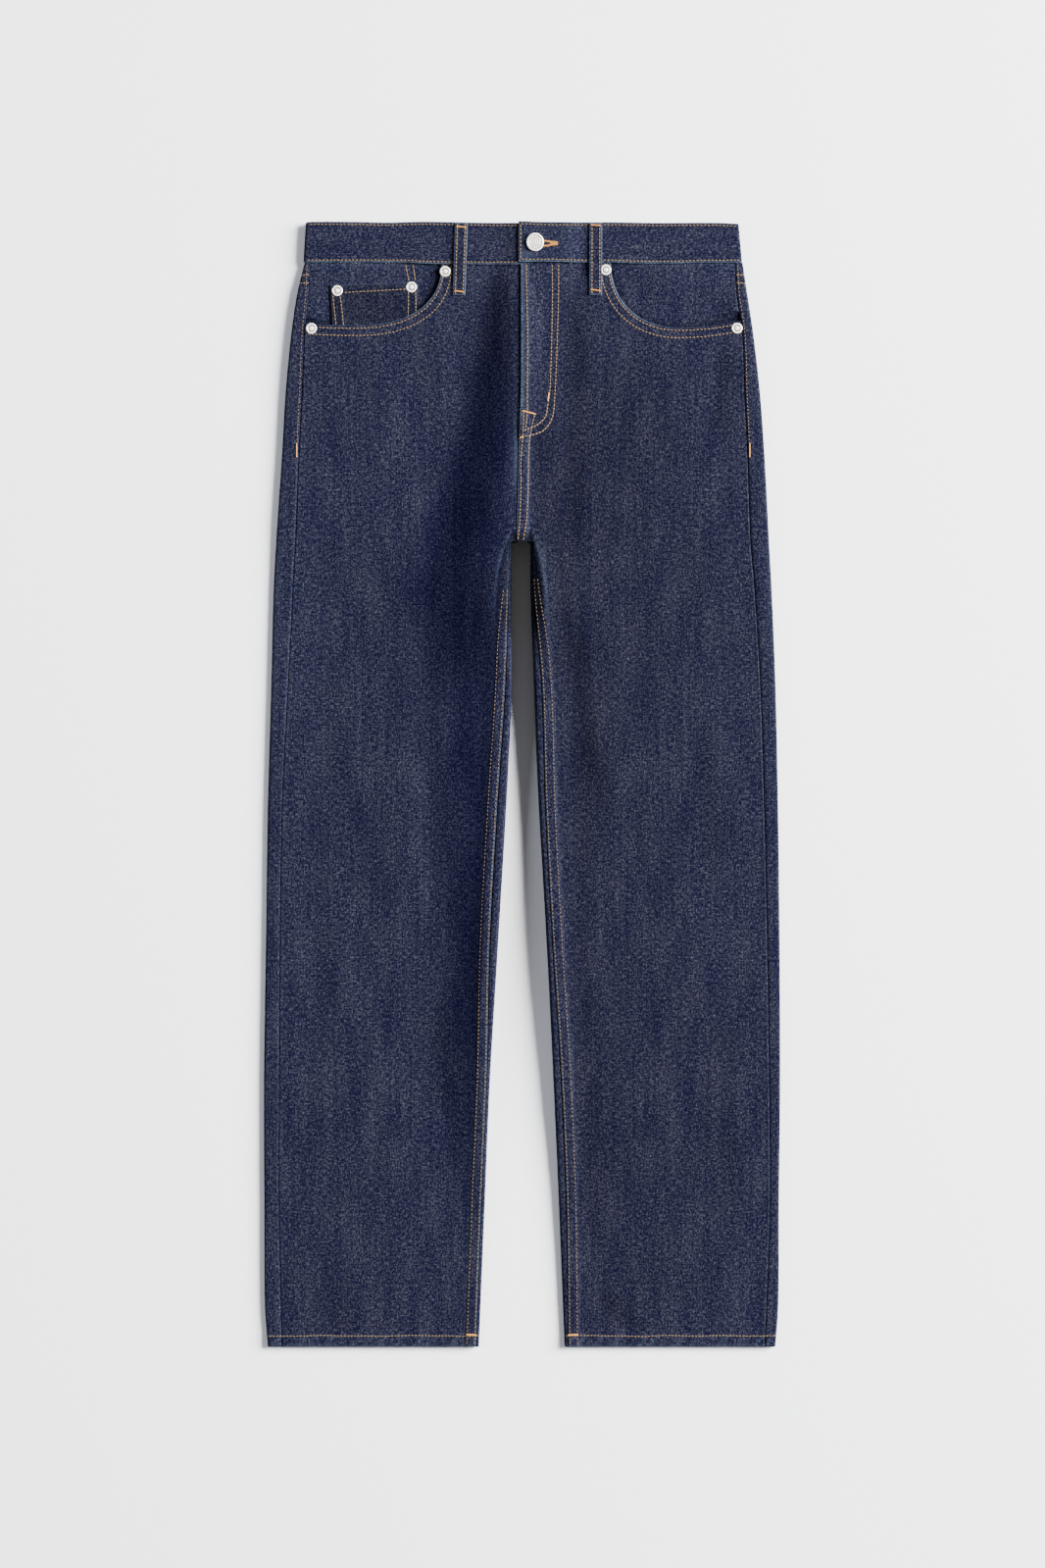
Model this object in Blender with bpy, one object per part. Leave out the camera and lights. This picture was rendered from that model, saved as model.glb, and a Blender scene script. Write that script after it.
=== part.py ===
"""Straight leg jeans lying flat on their back, fastened at the waist, with the crotch standing up a little.

Metres, +Z up. +Y runs from the hems to the waist and +X from the wearer's right to the wearer's left. The
origin is the middle of the garment on the surface that it lies on. A distance "down" is measured from the
waistband's top edge towards the hems, and "out" from the middle line towards a leg's outer side.
"""

import math
from collections import namedtuple

import bmesh
import bpy

MM = 0.001

# Driving sizes
TOTAL_LENGTH = 1090 * MM
WAISTBAND_DEPTH = 39.0 * MM
DENIM = 1.2 * MM                # wall of one layer of denim
POCKET_CLOTH = 1.0 * MM         # wall of the facings and the coin pocket
WAISTBAND_WALL = 2.5 * MM       # the waistband is folded double
SEAM_GAP = 0.3 * MM
FOLD_DEPTH = 2.4 * MM           # how far in from the outline the cloth turns over
CROTCH_DOWN = 306.6 * MM        # end of the front rise
CROTCH_EDGE_DOWN = 309.5 * MM   # lowest line of the crotch, where the cloth turns under
HEM_BAND = 11.0 * MM
HEM_EXTRA = 1.0 * MM            # further wall where the hem is turned up twice
HEM_LIFT_SHARE = 0.6            # share of that wall that lies outside the cloth's face
HEM_STEP = 0.5 * MM             # the wall thickens over this distance
TOLERANCE = 0.1 * MM
SLOPE_STEP = 0.5 * MM           # a slope is measured over this distance to each side
FELL_WIDTH = 9.5 * MM           # raised strip of a felled seam
FELL_RISE = 0.6 * MM
RISE_SEAM_EASE = 5 * MM         # the strips slope off over these widths
INSEAM_EASE = 4 * MM
STRIP_REACH = 14 * MM           # the front panels' narrow columns next to the seams: reach, and shares of it
STRIP_COLUMNS = (0.68, 0.3)
SIDE_COLUMN = 4.5 * MM          # first column's distance from the side seam
FLY_RISE = 1.6 * MM             # the left front lies this much over the right one at the fly
FLY_RISE_WIDTH = 30 * MM        # and slopes down to its own panel from here
FLY_RISE_END = 62 * MM          # to here
FLY_TAB = 7.5 * MM              # how far the right front runs on under the left one
FLY_TAB_SINK = 0.35 * MM
FLY_TAB_EASE = 6 * MM
FLY_END = 196 * MM
FLY_TAPER = 26 * MM             # the tab narrows over this distance above the fly's end
FLY_FADE = 25 * MM              # and the rise fades over this one below it
FLY_ROW_DOWN = 148 * MM         # the row that starts at the pocket opening's end reaches the fly here
SEAT_LIFT = 1.5 * MM            # the seat lies on its back pockets and loops
WAISTBAND_TOP = 7.4 * MM        # height of the waistband's front face

# Outer side of each leg: its outline, and the side seam that lies on the front, inside the outline
Side = namedtuple("Side", "down outline seam")
RIGHT_SIDE = (
    Side(39.0 * MM, 210.7 * MM, 205.8 * MM),
    Side(70.0 * MM, 218.1 * MM, 207.2 * MM),
    Side(108.0 * MM, 223.7 * MM, 210.6 * MM),
    Side(165.0 * MM, 229.2 * MM, 213.2 * MM),
    Side(231.0 * MM, 233.1 * MM, 216.4 * MM),
    Side(309.0 * MM, 238.4 * MM, 219.4 * MM),
    Side(355.0 * MM, 240.9 * MM, 221.9 * MM),
    Side(450.0 * MM, 243.3 * MM, 226.7 * MM),
    Side(564.0 * MM, 246.5 * MM, 232.4 * MM),
    Side(697.0 * MM, 248.4 * MM, 234.5 * MM),
    Side(830.0 * MM, 250.3 * MM, 235.2 * MM),
    Side(953.0 * MM, 250.0 * MM, 235.5 * MM),
    Side(1048.0 * MM, 249.5 * MM, 233.5 * MM),
    Side(1090.0 * MM, 246.6 * MM, 232.4 * MM),
)
LEFT_SIDE = (
    Side(39.0 * MM, 213.8 * MM, 206.1 * MM),
    Side(70.0 * MM, 218.5 * MM, 207.8 * MM),
    Side(108.0 * MM, 224.2 * MM, 213.2 * MM),
    Side(165.0 * MM, 230.7 * MM, 215.3 * MM),
    Side(231.0 * MM, 235.4 * MM, 218.4 * MM),
    Side(309.0 * MM, 239.5 * MM, 221.2 * MM),
    Side(355.0 * MM, 242.1 * MM, 225.1 * MM),
    Side(450.0 * MM, 245.9 * MM, 230.8 * MM),
    Side(564.0 * MM, 248.3 * MM, 234.4 * MM),
    Side(697.0 * MM, 249.8 * MM, 237.4 * MM),
    Side(830.0 * MM, 250.4 * MM, 239.3 * MM),
    Side(953.0 * MM, 249.1 * MM, 240.0 * MM),
    Side(1048.0 * MM, 248.6 * MM, 236.7 * MM),
    Side(1090.0 * MM, 245.7 * MM, 235.0 * MM),
)

# Inner side of each leg: its outline and the inseam, which also lies on the front
Inside = namedtuple("Inside", "down outline seam")
RIGHT_INSIDE = (
    Inside(311.5 * MM, 10.1 * MM, 12.7 * MM),
    Inside(355.0 * MM, 10.4 * MM, 13.0 * MM),
    Inside(450.0 * MM, 10.1 * MM, 16.3 * MM),
    Inside(564.0 * MM, 15.2 * MM, 23.8 * MM),
    Inside(697.0 * MM, 23.0 * MM, 31.2 * MM),
    Inside(830.0 * MM, 31.0 * MM, 34.2 * MM),
    Inside(953.0 * MM, 36.2 * MM, 39.5 * MM),
    Inside(1090.0 * MM, 41.9 * MM, 44.6 * MM),
)
LEFT_INSIDE = (
    Inside(311.5 * MM, 8.2 * MM, 10.9 * MM),
    Inside(355.0 * MM, 8.0 * MM, 10.9 * MM),
    Inside(450.0 * MM, 11.4 * MM, 19.0 * MM),
    Inside(564.0 * MM, 16.1 * MM, 22.4 * MM),
    Inside(697.0 * MM, 23.7 * MM, 29.3 * MM),
    Inside(830.0 * MM, 30.3 * MM, 37.8 * MM),
    Inside(953.0 * MM, 35.7 * MM, 42.7 * MM),
    Inside(1090.0 * MM, 41.2 * MM, 44.5 * MM),
)

# Front edge of the fly and, below it, the front rise seam: distance to the wearer's left
Edge = namedtuple("Edge", "down x")
FLY_EDGE = (
    Edge(39.0 * MM, -1.4 * MM),
    Edge(165.0 * MM, -1.4 * MM),
    Edge(208.0 * MM, -3.3 * MM),
    Edge(308.0 * MM, -5.7 * MM),
)

# Height of the front's outer face over the surface, and of the underside
Height = namedtuple("Height", "down front under")
HEIGHTS = (
    Height(0.0 * MM, 6.2 * MM, SEAT_LIFT),
    Height(42.0 * MM, 6.2 * MM, SEAT_LIFT),
    Height(68.0 * MM, 7.2 * MM, SEAT_LIFT),
    Height(112.0 * MM, 7.2 * MM, SEAT_LIFT),
    Height(190.0 * MM, 6.5 * MM, SEAT_LIFT),
    Height(285.0 * MM, 6.1 * MM, SEAT_LIFT),
    Height(345.0 * MM, 5.0 * MM, 0.0),
    Height(480.0 * MM, 4.8 * MM, 0.0),
    Height(1090.0 * MM, 4.6 * MM, 0.0),
)

# The cloth stands up at the crotch and along the inner thighs: height of the crest, where its slope to the
# wearer's right starts and how far it reaches, the same to the left, the share that falls off close by on the
# left, and the share on the right that falls off steeply at once
Crown = namedtuple("Crown", "down height right_start right_reach left_start left_reach near square")
CROWN = (
    Crown(44.0 * MM, 0.0 * MM, -1.0 * MM, 34.0 * MM, 3.0 * MM, 150.0 * MM, 0.6, 0.0),
    Crown(68.0 * MM, 3.0 * MM, -1.0 * MM, 36.0 * MM, 3.0 * MM, 150.0 * MM, 0.6, 0.0),
    Crown(112.0 * MM, 8.0 * MM, 0.0 * MM, 46.0 * MM, 3.0 * MM, 155.0 * MM, 0.55, 0.0),
    Crown(190.0 * MM, 15.5 * MM, 3.0 * MM, 62.0 * MM, 3.0 * MM, 165.0 * MM, 0.45, 0.0),
    Crown(250.0 * MM, 21.0 * MM, 6.0 * MM, 78.0 * MM, 4.0 * MM, 175.0 * MM, 0.3, 0.0),
    Crown(300.0 * MM, 26.5 * MM, 9.0 * MM, 94.0 * MM, 7.0 * MM, 180.0 * MM, 0.2, 0.1),
    Crown(345.0 * MM, 28.5 * MM, 19.0 * MM, 102.0 * MM, 20.0 * MM, 180.0 * MM, 0.15, 0.3),
    Crown(450.0 * MM, 16.5 * MM, 24.0 * MM, 88.0 * MM, 29.0 * MM, 175.0 * MM, 0.15, 0.7),
    Crown(564.0 * MM, 12.0 * MM, 31.0 * MM, 68.0 * MM, 33.0 * MM, 165.0 * MM, 0.15, 1.0),
    Crown(697.0 * MM, 12.8 * MM, 38.0 * MM, 52.0 * MM, 39.0 * MM, 150.0 * MM, 0.15, 1.0),
    Crown(830.0 * MM, 7.4 * MM, 44.0 * MM, 44.0 * MM, 48.0 * MM, 120.0 * MM, 0.15, 1.0),
    Crown(953.0 * MM, 2.0 * MM, 49.0 * MM, 40.0 * MM, 52.0 * MM, 90.0 * MM, 0.15, 1.0),
    Crown(1090.0 * MM, 0.0 * MM, 54.0 * MM, 36.0 * MM, 54.0 * MM, 90.0 * MM, 0.15, 1.0),
)
CROWN_NEAR_REACH = 34 * MM
CROWN_LEFT_POWER = 1.3          # how the far share falls off on the left
CROWN_RIGHT_POWER = 2           # how the square share falls off on the right

# Below the crotch the legs' inner edges roll down to the gap: how far in from the outline, and how steeply
Roll = namedtuple("Roll", "down reach steepness")
ROLL = (
    Roll(300.0 * MM, 0.6 * MM, 0.0),
    Roll(304.0 * MM, 2.5 * MM, 0.36),
    Roll(313.0 * MM, 6.0 * MM, 0.42),
    Roll(327.0 * MM, 10.5 * MM, 0.42),
    Roll(347.0 * MM, 14.5 * MM, 0.42),
    Roll(372.0 * MM, 16.5 * MM, 0.32),
    Roll(400.0 * MM, 17.0 * MM, 0.18),
    Roll(440.0 * MM, 17.0 * MM, 0.0),
)

# Largest soft troughs (negative) and ridges of the front: a line from (x, down) to (x, down), half width and
# depth. Each deepens and fades over these shares of its length.
FOLD_START = (-0.15, 0.25)
FOLD_END = (1.15, 0.75)
Fold = namedtuple("Fold", "x_top down_top x_end down_end half_width depth")
FOLDS = (
    Fold(-50 * MM, 110 * MM, -96 * MM, 400 * MM, 18 * MM, -0.9 * MM),
    Fold(-96 * MM, 400 * MM, -84 * MM, 700 * MM, 16 * MM, -0.9 * MM),
    Fold(48 * MM, 70 * MM, 46 * MM, 300 * MM, 13 * MM, -0.8 * MM),
    Fold(42 * MM, 330 * MM, 60 * MM, 980 * MM, 13 * MM, -1.1 * MM),
    Fold(-134 * MM, 130 * MM, -150 * MM, 760 * MM, 32 * MM, 1.7 * MM),
    Fold(126 * MM, 130 * MM, 138 * MM, 760 * MM, 34 * MM, 1.6 * MM),
    Fold(-120 * MM, 620 * MM, -140 * MM, 1000 * MM, 55 * MM, 0.5 * MM),
    Fold(130 * MM, 620 * MM, 145 * MM, 1000 * MM, 55 * MM, 0.5 * MM),
    Fold(-195 * MM, 300 * MM, -205 * MM, 900 * MM, 18 * MM, -0.6 * MM),
    Fold(200 * MM, 260 * MM, 205 * MM, 820 * MM, 18 * MM, -0.5 * MM),
)

# Curved front pocket openings: a quarter of a rounded oval from the waistband, then a run to the side seam
Opening = namedtuple("Opening", "centre half_width drop roundness rise")
RIGHT_OPENING = Opening(164 * MM, 85.5 * MM, 61.4 * MM, 2.4, 2.0 * MM)
LEFT_OPENING = Opening(151.5 * MM, 65.5 * MM, 63.4 * MM, 2.15, 6.6 * MM)
FACING_MARGIN = 11 * MM         # how far a facing runs on under the front panel
FACING_SINK = 3.1 * MM          # how deep it lies there below the front's outer face
FACING_SINK_AT_WAIST = 1.8 * MM
FACING_SINK_START = 42 * MM     # it sinks deeper from here
FACING_SINK_END = 62 * MM       # to here
FACING_SINK_INSIDE = 0.25 * MM  # in the opening's middle it lies almost level with the front
FACING_LEVEL_SHARE = 0.25       # level up to this share of the opening's curve
FACING_DEEP_SHARE = 0.93        # deepest from this one on

# Legs, with the sign of X on their side
Leg = namedtuple("Leg", "name sign side inside opening")
RIGHT = Leg("right", -1, RIGHT_SIDE, RIGHT_INSIDE, RIGHT_OPENING)
LEFT = Leg("left", 1, LEFT_SIDE, LEFT_INSIDE, LEFT_OPENING)

# Yoke seam on the back: distance down at the side seam and at the middle
YOKE_SIDE_DOWN = 56 * MM
YOKE_MIDDLE_DOWN = 104 * MM

# Rivets: place of each head's centre and what it sits on
Rivet = namedtuple("Rivet", "name x down on_coin_pocket")
RIVETS = (
    Rivet("rivet_right_side", -204.2 * MM, 103.2 * MM, False),
    Rivet("rivet_right_waist", -74.6 * MM, 47.9 * MM, False),
    Rivet("rivet_coin_outer", -179.1 * MM, 66.7 * MM, True),
    Rivet("rivet_coin_inner", -107.3 * MM, 63.0 * MM, True),
    Rivet("rivet_left_waist", 81.0 * MM, 46.4 * MM, False),
    Rivet("rivet_left_side", 208.2 * MM, 103.0 * MM, False),
)
RIVET_RADIUS = 5.1 * MM
BUTTON_RADIUS = 8.5 * MM
BUTTON_X = 12.6 * MM
BUTTON_DOWN = 19.8 * MM

# Turned profiles: distance from the middle as a share of the radius, and height over the cloth
Turn = namedtuple("Turn", "share height")
RIVET_PROFILE = (
    Turn(1.0, 0.0 * MM),
    Turn(0.96, 0.55 * MM),
    Turn(0.74, 0.8 * MM),
    Turn(0.5, 0.6 * MM),
    Turn(0.28, 1.0 * MM),
)
BUTTON_PROFILE = (
    Turn(0.9, 0.0 * MM),
    Turn(1.0, 0.7 * MM),
    Turn(0.96, 1.5 * MM),
    Turn(0.84, 1.9 * MM),
    Turn(0.7, 1.5 * MM),
    Turn(0.45, 1.5 * MM),
    Turn(0.3, 2.0 * MM),
)
RIVET_SIDES = 14
BUTTON_SIDES = 24

# Belt loops
LOOP_WIDTH = 12.4 * MM
LOOP_LENGTH = 69.5 * MM
LOOP_WALL = 1.3 * MM
BACK_LOOP_WALL = 1.1 * MM
LOOP_SLACK = 0.9 * MM           # how far a front loop stands off the waistband
LOOP_SLACK_START = 0.3          # shares of a loop's length where it stands off in full
LOOP_SLACK_END = 0.62
LOOP_LEAVE_START = 0.55         # shares where it comes down from the waistband to the panel
LOOP_LEAVE_END = 0.95
LOOP_GAP = 0.56 * MM            # between a front loop and what it lies on
Loop = namedtuple("Loop", "name x_top x_end")
FRONT_LOOPS = (
    Loop("belt_loop_front_right", -59.0 * MM, -61.2 * MM),
    Loop("belt_loop_front_left", 71.3 * MM, 71.2 * MM),
)
BACK_LOOPS = (
    Loop("belt_loop_back_right", -143 * MM, -145 * MM),
    Loop("belt_loop_back_centre", 0.0, 0.0),
    Loop("belt_loop_back_left", 143 * MM, 145 * MM),
)

# Waistband ends at the front: the left end laps over the right one
LAP_RAMP_START = 40 * MM
LAP_RAMP_END = 62 * MM
UNDERLAP_END = 37 * MM
LAP_RISE = 2.8 * MM
LAP_TOP_EXTRA = 1.0 * MM        # the lapped end reaches this much further up than the rest
LEFT_BAND_EDGE = 213.4 * MM
RIGHT_BAND_EDGE = 210.7 * MM
LEFT_BAND_LEAN = 3.5 * MM       # how much narrower the band is at its top edge
RIGHT_BAND_LEAN = 0.9 * MM
LEAN_START = 190 * MM
LEAN_END = 205 * MM
BAND_TURN_ANGLES = (90, 50, 0, -50, -90)
LAPPED_FRONT = [x * MM for x in (-3.6, 8, 20, 30, 40, 46, 51, 56, 62, 90, 130, 180)]
BAND_BACK = [x * MM for x in (150, 75, 0, -75, -150)]
UNDER_FRONT = [x * MM for x in (-170, -110, -50, 0)] + [UNDERLAP_END]
BAND_ROWS = ((0.0, 0.6 * MM), (0.04, 0.0), (0.96, 0.0), (1.0, 0.3 * MM))   # share down, rounding of the edge

# Coin pocket: top edge from its outer to its inner corner
COIN_OUTER_X = -186.0 * MM
COIN_INNER_X = -100.6 * MM
COIN_OUTER_DOWN = 61.2 * MM
COIN_INNER_DOWN = 57.6 * MM
COIN_MARGIN = 7.0 * MM          # how far it runs on under the front panel
COIN_TAPER = 2.4 * MM           # each side comes in by this much towards the bottom

# Back patch pockets
BACK_POCKET_INNER = 42 * MM
BACK_POCKET_TOP_WIDTH = 152 * MM
BACK_POCKET_TAPER = 8 * MM      # each side comes in by this much towards the bottom
BACK_POCKET_TOP_DOWN = 106 * MM
BACK_POCKET_SIDE = 138 * MM
BACK_POCKET_POINT = 24 * MM

# Shares of a back row's path from the side seam, round the outline, to the middle of the back
STRIP_SHARE = 0.035             # end of the strip that lies on the front
TURN_SHARE = 0.065              # end of the turn under the outline
FLAT_SHARE = 0.95               # end of the flat stretch
CROTCH_TURN_SHARE = 0.5         # share of a crotch row's turned end over which it comes to face the hems

# The back panels' last seat row and first crotch row, just above the end of the rise
SEAT_ROW_END = CROTCH_DOWN - 2.0 * MM
CROTCH_ROW_START = CROTCH_DOWN - 1.5 * MM

# Number of steps in the meshes
POCKET_STEPS = 8
RUN_STEPS = 3
SEAT_STEPS = 10
UPPER_SEAT_STEPS = 2
LEG_STEPS = 18
YOKE_STEPS = 3
PANEL_COLUMNS = 14
BOTTOM_COLUMNS = 8
FACING_COLUMNS = 9
COIN_COLUMNS = 9
COIN_STEPS = 5
BACK_POCKET_COLUMNS = 6
BACK_POCKET_STEPS = 3
LOOP_STEPS = 9
RIVET_PLACES = 8
FOLD_ANGLES = (90, 60, 25, -10, -50, -90)
CROTCH_ANGLES = (-40, -5, 30)


def clear_scene():
    """Take every object out of the scene."""
    for item in list(bpy.data.objects):
        bpy.data.objects.remove(item, do_unlink=True)


def make_material(name, colour, roughness, metallic):
    """A plain shaded material."""
    material = bpy.data.materials.new(name)
    material.use_nodes = True
    shader = material.node_tree.nodes["Principled BSDF"]
    shader.inputs["Base Color"].default_value = (*colour, 1.0)
    shader.inputs["Roughness"].default_value = roughness
    shader.inputs["Metallic"].default_value = metallic
    material.diffuse_color = (*colour, 1.0)
    return material


def add_object(name, points, faces, material, smooth=False):
    """An object from points and faces, with its faces turned outwards."""
    mesh = bpy.data.meshes.new(name)
    mesh.from_pydata(points, [], faces)
    work = bmesh.new()
    work.from_mesh(mesh)
    bmesh.ops.recalc_face_normals(work, faces=work.faces)
    work.to_mesh(mesh)
    work.free()
    if smooth:
        mesh.shade_smooth()
        mesh.set_sharp_from_angle(angle=math.radians(40))
    mesh.materials.append(material)
    item = bpy.data.objects.new(name, mesh)
    bpy.context.scene.collection.objects.link(item)
    return item


def add_wall(name, outer, inner, material):
    """A closed wall between two grids of points that have the same rows and columns."""
    rows = len(outer)
    columns = len(outer[0])
    points = [point for row in outer for point in row]
    points += [point for row in inner for point in row]
    offset = rows * columns

    def at(row, column, side):
        return side * offset + row * columns + column

    faces = []
    for row in range(rows - 1):
        for column in range(columns - 1):
            corners = ((row, column), (row, column + 1), (row + 1, column + 1), (row + 1, column))
            faces.append([at(*corner, 0) for corner in corners])
            faces.append([at(*corner, 1) for corner in reversed(corners)])
    rim = [(0, column) for column in range(columns)]
    rim += [(row, columns - 1) for row in range(1, rows)]
    rim += [(rows - 1, column) for column in range(columns - 2, -1, -1)]
    rim += [(row, 0) for row in range(rows - 2, 0, -1)]
    for index, here in enumerate(rim):
        there = rim[(index + 1) % len(rim)]
        faces.append([at(*there, 0), at(*here, 0), at(*here, 1), at(*there, 1)])
    return add_object(name, points, faces, material)


def along(rows, column, down):
    """A table's column at a distance down, on a smooth curve through its rows."""
    last = len(rows) - 1
    if down <= rows[0].down:
        return getattr(rows[0], column)
    if down >= rows[last].down:
        return getattr(rows[last], column)
    index = max(i for i in range(last) if rows[i].down <= down)

    def slope(i):
        low = rows[max(i - 1, 0)]
        high = rows[min(i + 1, last)]
        return (getattr(high, column) - getattr(low, column)) / (high.down - low.down)

    start = rows[index]
    end = rows[index + 1]
    span = end.down - start.down
    t = (down - start.down) / span
    value = (2 * t**3 - 3 * t**2 + 1) * getattr(start, column)
    value += (t**3 - 2 * t**2 + t) * span * slope(index)
    value += (3 * t**2 - 2 * t**3) * getattr(end, column)
    value += (t**3 - t**2) * span * slope(index + 1)
    return value


def smooth_step(low, high, value):
    """0 up to low, 1 from high, and a soft change between them."""
    t = min(max((value - low) / (high - low), 0.0), 1.0)
    return t * t * (3 - 2 * t)


def to_y(down):
    """Y at a distance down from the waistband's top edge."""
    return TOTAL_LENGTH / 2 - down


def hem_share(down):
    """1 inside the turned-up hem and 0 above it."""
    return 1.0 if down > TOTAL_LENGTH - HEM_BAND + TOLERANCE else 0.0


def underside(down):
    """Height of the cloth's underside over the surface."""
    return max(along(HEIGHTS, "under", down), 0.0)


def fold_relief(x, down):
    """Sum of the soft troughs and ridges at a place."""
    total = 0.0
    for fold in FOLDS:
        share = (down - fold.down_top) / (fold.down_end - fold.down_top)
        line = fold.x_top + (fold.x_end - fold.x_top) * share
        ends = smooth_step(*FOLD_START, share) * smooth_step(*FOLD_END, share)
        total += fold.depth * ends * math.exp(-(((x - line) / fold.half_width) ** 2))
    return total


def crown_height(x, down):
    """How far the front stands up here on account of the crotch and the inner thighs."""
    right = (-x - along(CROWN, "right_start", down)) / along(CROWN, "right_reach", down)
    square = along(CROWN, "square", down)
    falling = square * (1 - min(max(right, 0.0), 1.0)) ** CROWN_RIGHT_POWER
    falling += (1 - square) * (1 - smooth_step(0.0, 1.0, right))
    past = x - along(CROWN, "left_start", down)
    left = past / along(CROWN, "left_reach", down)
    near = along(CROWN, "near", down)
    share = near * (1 - smooth_step(0.0, CROWN_NEAR_REACH, past))
    share += (1 - near) * (1 - min(max(left, 0.0), 1.0)) ** CROWN_LEFT_POWER
    return along(CROWN, "height", down) * share * falling


def roll_drop(x, down):
    """How far the front rolls down here towards the gap between the legs."""
    outline = along(RIGHT_INSIDE if x < 0 else LEFT_INSIDE, "outline", down)
    reach = along(ROLL, "reach", down)
    inside = max(reach - max(abs(x) - outline, 0.0), 0.0)
    return along(ROLL, "steepness", down) * inside**2 / reach


def front_height(x, down):
    """Height of the front's outer face, with its raised middle, its folds and the thicker hem."""
    height = along(HEIGHTS, "front", down) + crown_height(x, down) + fold_relief(x, down)
    return height - roll_drop(x, down) + HEM_LIFT_SHARE * HEM_EXTRA * hem_share(down)


def wall_at(down):
    """Thickness of the denim, more in the turned-up hem."""
    return DENIM + HEM_EXTRA * hem_share(down)


def front_wall(x, down):
    """The denim's thickness measured straight down, which is more where the front slopes."""
    slope = (front_height(x + SLOPE_STEP, down) - front_height(x - SLOPE_STEP, down)) / (2 * SLOPE_STEP)
    return wall_at(down) * math.hypot(1.0, slope)


def opening_point(opening, share, margin=0.0):
    """(out, down) on a pocket opening: share 0 at the waistband, 1 at the oval's lowest point."""
    angle = share * math.pi / 2
    power = 2 / opening.roundness
    out = opening.centre - (opening.half_width + margin) * math.cos(angle) ** power
    down = WAISTBAND_DEPTH + (opening.drop + margin) * math.sin(angle) ** power
    return out, down


def run_point(leg, share):
    """(out, down) on the opening's run from the oval's lowest point to the side seam."""
    opening = leg.opening
    end_down = WAISTBAND_DEPTH + opening.drop - opening.rise
    end_out = along(leg.side, "seam", end_down) - SEAM_GAP
    out = opening.centre + (end_out - opening.centre) * share
    return out, WAISTBAND_DEPTH + opening.drop - opening.rise * share**2


def sinking(leg, out, down):
    """How far the facing lies below the front's outer face."""
    opening = leg.opening
    across = max(opening.centre - out, 0.0) / opening.half_width
    depth = (down - WAISTBAND_DEPTH) / opening.drop
    reach = (across**opening.roundness + max(depth, 0.0)**opening.roundness) ** (1 / opening.roundness)
    deepest = FACING_SINK_AT_WAIST
    deepest += (FACING_SINK - FACING_SINK_AT_WAIST) * smooth_step(FACING_SINK_START, FACING_SINK_END, down)
    share = smooth_step(FACING_LEVEL_SHARE, FACING_DEEP_SHARE, reach)
    return FACING_SINK_INSIDE + (deepest - FACING_SINK_INSIDE) * share


def spread(low, high, steps):
    """Evenly spaced values from low to high."""
    return [low + (high - low) * step / steps for step in range(steps + 1)]


def levels(leg):
    """Rows of a leg from the pocket opening's end at the side seam: down at the side and at the inside."""
    side_start = WAISTBAND_DEPTH + leg.opening.drop - leg.opening.rise
    seat = list(zip(
        spread(side_start, CROTCH_DOWN, SEAT_STEPS),
        spread(FLY_ROW_DOWN, CROTCH_DOWN, SEAT_STEPS),
    ))
    hem_top = TOTAL_LENGTH - HEM_BAND
    start = leg.inside[0].down
    legs = [(down, down) for down in spread(start, hem_top, LEG_STEPS)]
    legs += [(hem_top + HEM_STEP,) * 2, (TOTAL_LENGTH,) * 2]
    return seat, legs


def fly_x(down, leg):
    """X of a front panel's edge at the fly and the front rise."""
    edge = along(FLY_EDGE, "x", down)
    if leg is LEFT:
        return edge
    tab = FLY_TAB * (1 - smooth_step(FLY_END - FLY_TAPER, FLY_END, down))
    return edge - SEAM_GAP + tab


def front_rise(leg, x, down):
    """Extra height of a front panel at the fly, the front rise and the inseam."""
    if down > CROTCH_EDGE_DOWN:
        away = leg.sign * x - along(leg.inside, "seam", down)
        return FELL_RISE * (1 - smooth_step(FELL_WIDTH, FELL_WIDTH + INSEAM_EASE, away))
    edge = along(FLY_EDGE, "x", down)
    at_fly = 1 - smooth_step(FLY_END, FLY_END + FLY_FADE, down)
    if leg is RIGHT:
        return -FLY_TAB_SINK * at_fly * smooth_step(edge - FLY_TAB_EASE, edge, x)
    lap = at_fly * (1 - smooth_step(FLY_RISE_WIDTH, FLY_RISE_END, x - edge))
    strip = (1 - at_fly) * (1 - smooth_step(FELL_WIDTH, FELL_WIDTH + RISE_SEAM_EASE, x - edge))
    return FLY_RISE * lap + FELL_RISE * strip


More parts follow.
